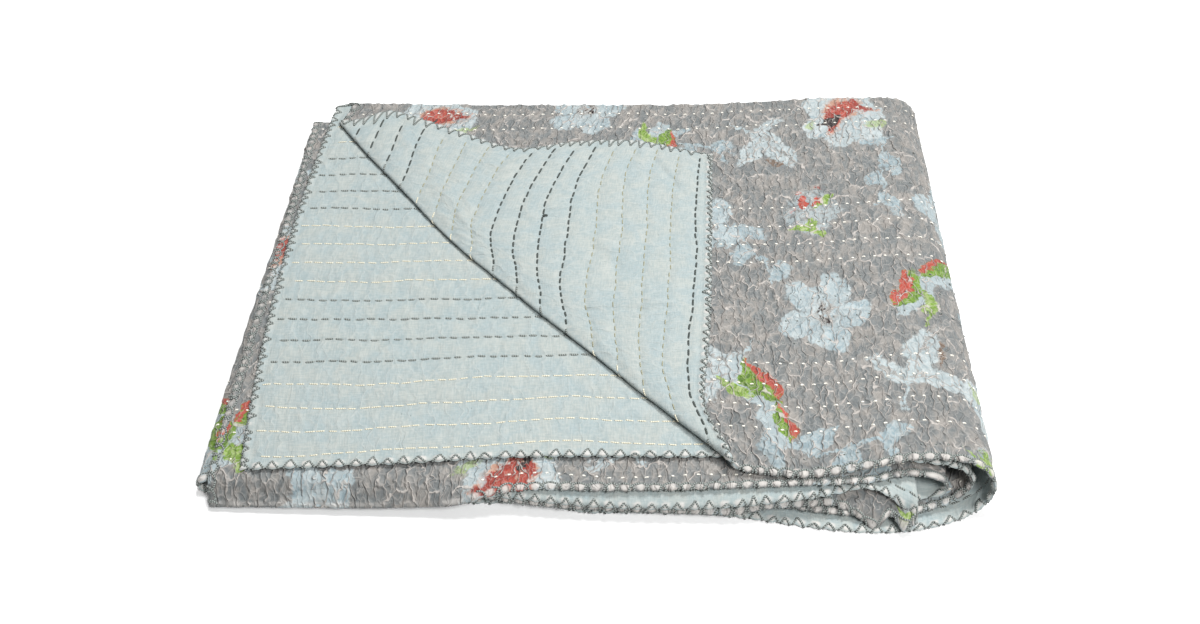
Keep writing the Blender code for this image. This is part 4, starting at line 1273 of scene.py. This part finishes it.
def paint_buds(n, paint, place, fine):
    """Green buds in a row, each with one red edge, before a pale outline of themselves."""
    here, _ = nearest(n, place, BUDS)
    buds = (((-0.46, 0.10), 0.62, 0.58, 8), ((0.52, -0.04), 0.56, 0.52, -14))
    solid = fine.step(0.22, 0.32)
    for middle, outline, _, turn in buds:
        halo = leaf(n, here, (middle[0], middle[1] - 0.12), outline * 1.12, turn, 0.50)[0]
        paint = n.blend(halo * solid, paint, PALE_BLUE)
    small = leaf(n, here, (-0.50, -0.42), 0.46, 38, 0.36, bend=0.18)[0]
    paint = n.blend(small * solid, paint, n.blend(fine.step(0.42, 0.60), LEAF_GREEN, LEAF_LIGHT))
    for middle, _, reach, turn in buds:
        blade, side, _ = leaf(n, here, middle, reach, turn, 0.40, bend=0.10, soft=0.08)
        paint = n.blend(blade * solid, paint, n.blend(fine.step(0.46, 0.62), LEAF_GREEN, LEAF_DEEP))
        paint = n.blend(blade * side.step(0.02, 0.22) * fine.step(0.30, 0.40), paint, POPPY_RED)
    return paint


def paint_berries(n, paint, place, fine):
    """Curled green leaf and a loose cluster of red berries in a pale cloud."""
    here, radius = nearest(n, place, BERRIES)
    cloud = fine.times_plus(0.8, radius).step(1.18, 1.08) * fine.step(0.38, 0.50)
    paint = n.blend(cloud * 0.75, paint, PALE_BLUE)
    curl = leaf(n, here, (-0.44, -0.10), 0.52, -70, 0.34, bend=-0.60)[0]
    tip = leaf(n, here, (0.52, -0.18), 0.36, -25, 0.34)[0]
    greens = n.blend(fine.step(0.44, 0.60), LEAF_GREEN, LEAF_LIGHT)
    paint = n.blend(curl.maximum(tip) * fine.step(0.28, 0.38), paint, greens)
    region = oval(n, here, (0.28, 0.26), (0.52, 0.42), 0.3)
    red = spots(n, here, 3.0, 0.44, Randomness=0.8) * region * fine.step(0.30, 0.40)
    return n.blend(red, paint, POPPY_RED)


# ---------------------------------------------------------------- the materials
def new_cotton(name, threads, crinkle_size):
    """A cotton's material, and what both cottons read: maps, weave, creases and stitch dimples."""
    n, shader, material = new_material(name, sheen=0.10, sheen_roughness=0.45)
    place = n.surface_map("flat_cloth")
    crest, bead, _ = n.split(n.surface_map("relief"))
    weave = n.use(cotton_weave, Place=place, Threads_per_metre=threads)
    crinkle = n.use(cotton_crinkle, Place=place, Size=crinkle_size)
    pull = n.use(stitch_dimples, Rows=n.surface_map("stitch_rows"), Sharpness=7.0)[0]
    return n, shader, material, place, crest, bead, *weave, *crinkle, pull


def printed_cotton():
    """Grey crinkled cotton with the floral print, pale on its creases, with painted shade in its hollows, a
    little painted light on its crests, and edge bulges made pale by wear and a painted highlight.
    """
    n, shader, material, place, crest, bead, weave, slub, veins, crinkle, pull = new_cotton(
        "printed_cotton", 1700.0, 0.0092)
    drawn_out = n.vector("MULTIPLY", place, (1.0, 0.7, 1.0))
    cloudy = n.noise(drawn_out, 95.0, detail=4.0, roughness=0.60, warp=0.8)[0]
    # Partly painted light and shade: the ground turns warmer and lighter towards the crumple's crests, and
    # the noise gives its own mottled tone.
    paint = n.blend(crest.times_plus(0.16, cloudy).step(0.44, 0.76), GROUND, GROUND_WARM)
    brush = n.noise(place, 120.0, detail=3.0, roughness=0.62)[1]
    drift = n.noise(place, 36.0)[1]
    brushed = n.vector("MULTIPLY_ADD", brush, (BRUSH_STRAY, BRUSH_STRAY, 0.0), place)
    brushed = n.vector("MULTIPLY_ADD", drift, (DRIFT_STRAY, DRIFT_STRAY, 0.0), brushed)
    usual = (BRUSH_STRAY + DRIFT_STRAY) / 2
    flat = n.vector("SUBTRACT", brushed, (usual, usual, 0.0))
    fine = n.noise(place, 200.0, detail=3.0, roughness=0.62, warp=0.5)[0]
    for painter in (paint_sprigs, paint_pale_leaves, paint_blossoms, paint_poppies, paint_buds,
                    paint_berries):
        paint = painter(n, paint, flat, fine)
    # Painted shade: the print darkens in the crinkle's hollows.
    hollow = crinkle.times_plus(0.70, crest * 0.50).step(0.62, 0.08)
    paint = n.blend(hollow * 0.34, paint, HOLLOW_PAINTED_SHADE, "MULTIPLY")
    faded = n.noise(place, 520.0, roughness=0.6)[0].step(0.32, 0.72)
    paint = n.blend(faded * 0.14, paint, GROUND_VEIN)
    paint = n.blend(veins * 0.85, paint, GROUND_VEIN)
    # Partly wear and partly painted highlight: the edge bulges are paler.
    paint = n.blend(bead.step(0.20, 0.80) * 0.85, paint, BEAD_WEAR_AND_HIGHLIGHT)
    paint = n.blend(slub.step(0.38, 0.62) * 0.18, paint, SLUB_SHADE, "MULTIPLY")
    height = pull.times_plus(-0.40, crinkle + weave * 0.03)
    n.feed(shader, {"Base Color": paint, "Roughness": veins.times_plus(-0.10, 0.90),
                    "Normal": n.bump(height, distance=0.0021)})
    return material


def plain_cotton():
    """Washed duck-egg blue cotton: cloudy colour, fine weave, slubs and a few dark flecks."""
    n, shader, material, place, crest, bead, weave, slub, veins, crinkle, pull = new_cotton(
        "plain_cotton", 1500.0, 0.0150)
    cloudy = n.noise(place, 40.0, detail=4.0, roughness=0.6, warp=0.6)[0].step(0.36, 0.64)
    paint = n.blend(cloudy, PLAIN_GREY, PLAIN_BLUE)
    grain = n.noise(place, 420.0, detail=3.0, roughness=0.65)[0].step(0.32, 0.68)
    paint = n.blend(grain * 0.45, paint, PLAIN_LIGHT)
    slub = slub.step(0.40, 0.62)
    paint = n.blend(slub * 0.50, paint, PLAIN_SHADE)
    # Paler along the crinkle veins and on the crumple's crests.
    paint = n.blend((veins * 0.24).maximum(crest.step(0.6, 1.0) * 0.3), paint, PLAIN_CREST_PALE)
    # Partly wear and partly painted highlight: the edge bulges are paler.
    paint = n.blend(bead.step(0.25, 0.85) * 0.75, paint, BEAD_WEAR_AND_HIGHLIGHT)
    off, tint = n.add("ShaderNodeTexVoronoi", {"Vector": place, "Scale": 260.0}, feature="F1")[:2]
    rare = n.split(tint)[0] > 0.985
    paint = n.blend(off.step(0.16, 0.08) * rare * 0.7, paint, FLECK)
    height = (slub + grain).times_plus(0.06, crinkle.times_plus(0.26, weave * 0.06))
    height = pull.times_plus(-0.35, height)
    n.feed(shader, {"Base Color": paint, "Roughness": grain.times_plus(0.06, 0.86),
                    "Normal": n.bump(height, distance=0.0016, strength=0.9)})
    return material


TWISTS_PER_METRE = 560.0


def cotton_thread(name, light, dark, corner_painted_shade, roughness):
    """Two-strand cotton thread: the strands run round it as slanting stripes, painted lighter on each
    strand's crest and darker in the groove between, a painted highlight and painted shade.

    On the turned corner, where the thread points at the viewer and catches less of the light, it takes its
    end-on colour, painted shade.
    """
    n, shader, material = new_material(name, sheen=0.15, sheen_roughness=0.4)
    place = n.surface_map("along_thread")
    along_it, round_it, _ = n.split(place)
    twist = along_it.times_plus(TWISTS_PER_METRE, round_it)
    strand = (twist * (2 * math.pi)).sine().times_plus(0.5, 0.5)
    uneven = n.noise(place, 150.0, detail=3.0)[0]
    # Painted highlight on each strand's crest and painted shade between the strands, with uneven noise.
    paint = n.blend(strand.times_plus(0.75, uneven.times_plus(0.7, -0.2)), dark, light)
    # Painted shade on the turned corner, where the rows run towards the viewer.
    paint = n.blend((round_it > 0.999) * 0.85, paint, corner_painted_shade)
    n.feed(shader, {"Base Color": paint, "Roughness": uneven.times_plus(0.2, roughness - 0.1),
                    "Normal": n.bump(strand, distance=0.0003, strength=0.8)})
    return material


# ---------------------------------------------------------------- the pieces
def declare(piece, slot, *nodes):
    """Attach a piece to the root body and hide the solids that it stands for.  slot is not used."""
    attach(piece, "root")
    if nodes:
        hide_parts(*nodes)


printed = cloth_piece("printed_cloth", PRINTED, printed_cotton())
plain = cloth_piece("plain_cloth", PLAIN, plain_cotton())
declare(printed, "printed_cotton", "printed_panel")
declare(plain, "plain_cotton", "plain_panel")

# Each thread: painted highlight and painted shade of its strands, the painted shade it takes on the turned
# corner, and its roughness.
charcoal = cotton_thread("charcoal_thread", colour("A4AAA6"), colour("2A312F"), colour("363D3B"), 0.75)
cream = cotton_thread("cream_thread", colour("EEE8D6"), colour("BDB79C"), colour("8C8C74"), 0.70)
white = cotton_thread("white_thread", colour("F8F5EC"), colour("DDD8CB"), colour("F8F5EC"), 0.60)
for face, side, pale in (("plain", PLAIN, cream), ("printed", PRINTED, white)):
    for thread, finish in (("charcoal", charcoal), ("cream", pale)):
        lines, looks, turned = running_stitches(side, thread == "charcoal")
        _, breadth, thick = RUNNING[side, thread == "charcoal"]
        name = f"{thread}_running_stitches_on_{face}"
        piece = thread_piece(name, lines, breadth, thick, finish, looks, turned)
        declare(piece, thread + "_thread")
lines, looks = edge_stitches()
piece = thread_piece("charcoal_edge_stitches", lines, *EDGE_THREAD, charcoal, looks)
declare(piece, "charcoal_thread")


# ---------------------------------------------------------------- floor, light and camera
FLOOR_SIZE = 6.0
FLOOR_DROP = 0.0006         # how far the floor lies below z = 0, the bottom of the CAD
FLOOR_WHITE = (0.96, 0.96, 0.96, 1.0)


def floor_piece():
    """A flat square floor, a little below z = 0."""
    corners = np.array([[-1, -1], [1, -1], [1, 1], [-1, 1]]) * FLOOR_SIZE / 2
    points = np.column_stack([corners, np.full(4, -FLOOR_DROP)])
    n, shader, material = new_material("pale_floor")
    n.feed(shader, {"Base Color": FLOOR_WHITE, "Roughness": 0.9})
    return make_piece("floor", points, np.arange(4), np.array([4]), {}, material)


def soft_box(name, place, size, watts):
    """A square lamp that faces the middle of the scene."""
    lamp = bpy.data.lights.new(name, "AREA")
    lamp.size = size
    lamp.energy = watts
    obj = bpy.data.objects.new(name, lamp)
    bpy.context.scene.collection.objects.link(obj)
    away = unit(np.array(place))
    obj.location = place
    obj.rotation_euler = (math.acos(away[2]), 0.0, math.atan2(away[1], away[0]) + math.pi / 2)


floor_piece()
soft_box("key_light", (0.30, 0.95, 2.20), 0.60, 58.0)
soft_box("fill_light", (0.75, -0.72, 1.60), 0.70, 28.0)

world = bpy.data.worlds.new("pale_room")
world.use_nodes = True
background = world.node_tree.nodes["Background"].inputs
background["Color"].default_value = (1.0, 1.0, 1.0, 1.0)
background["Strength"].default_value = 0.18
bpy.context.scene.world = world
bpy.context.scene.view_settings.view_transform = "Standard"

CAMERA_PLACE = (0.01825, -0.5085, 0.7253)
CAMERA_DOWN = math.radians(55.98)
CAMERA_TURN = math.radians(1.99)
lens = bpy.data.cameras.new("camera")
lens.lens = 28.5
lens.sensor_width = 36.0
lens.clip_start = 0.01
camera = bpy.data.objects.new("camera", lens)
bpy.context.scene.collection.objects.link(camera)
camera.location = CAMERA_PLACE
camera.rotation_euler = (math.pi / 2 - CAMERA_DOWN, 0.0, CAMERA_TURN)
bpy.context.scene.camera = camera
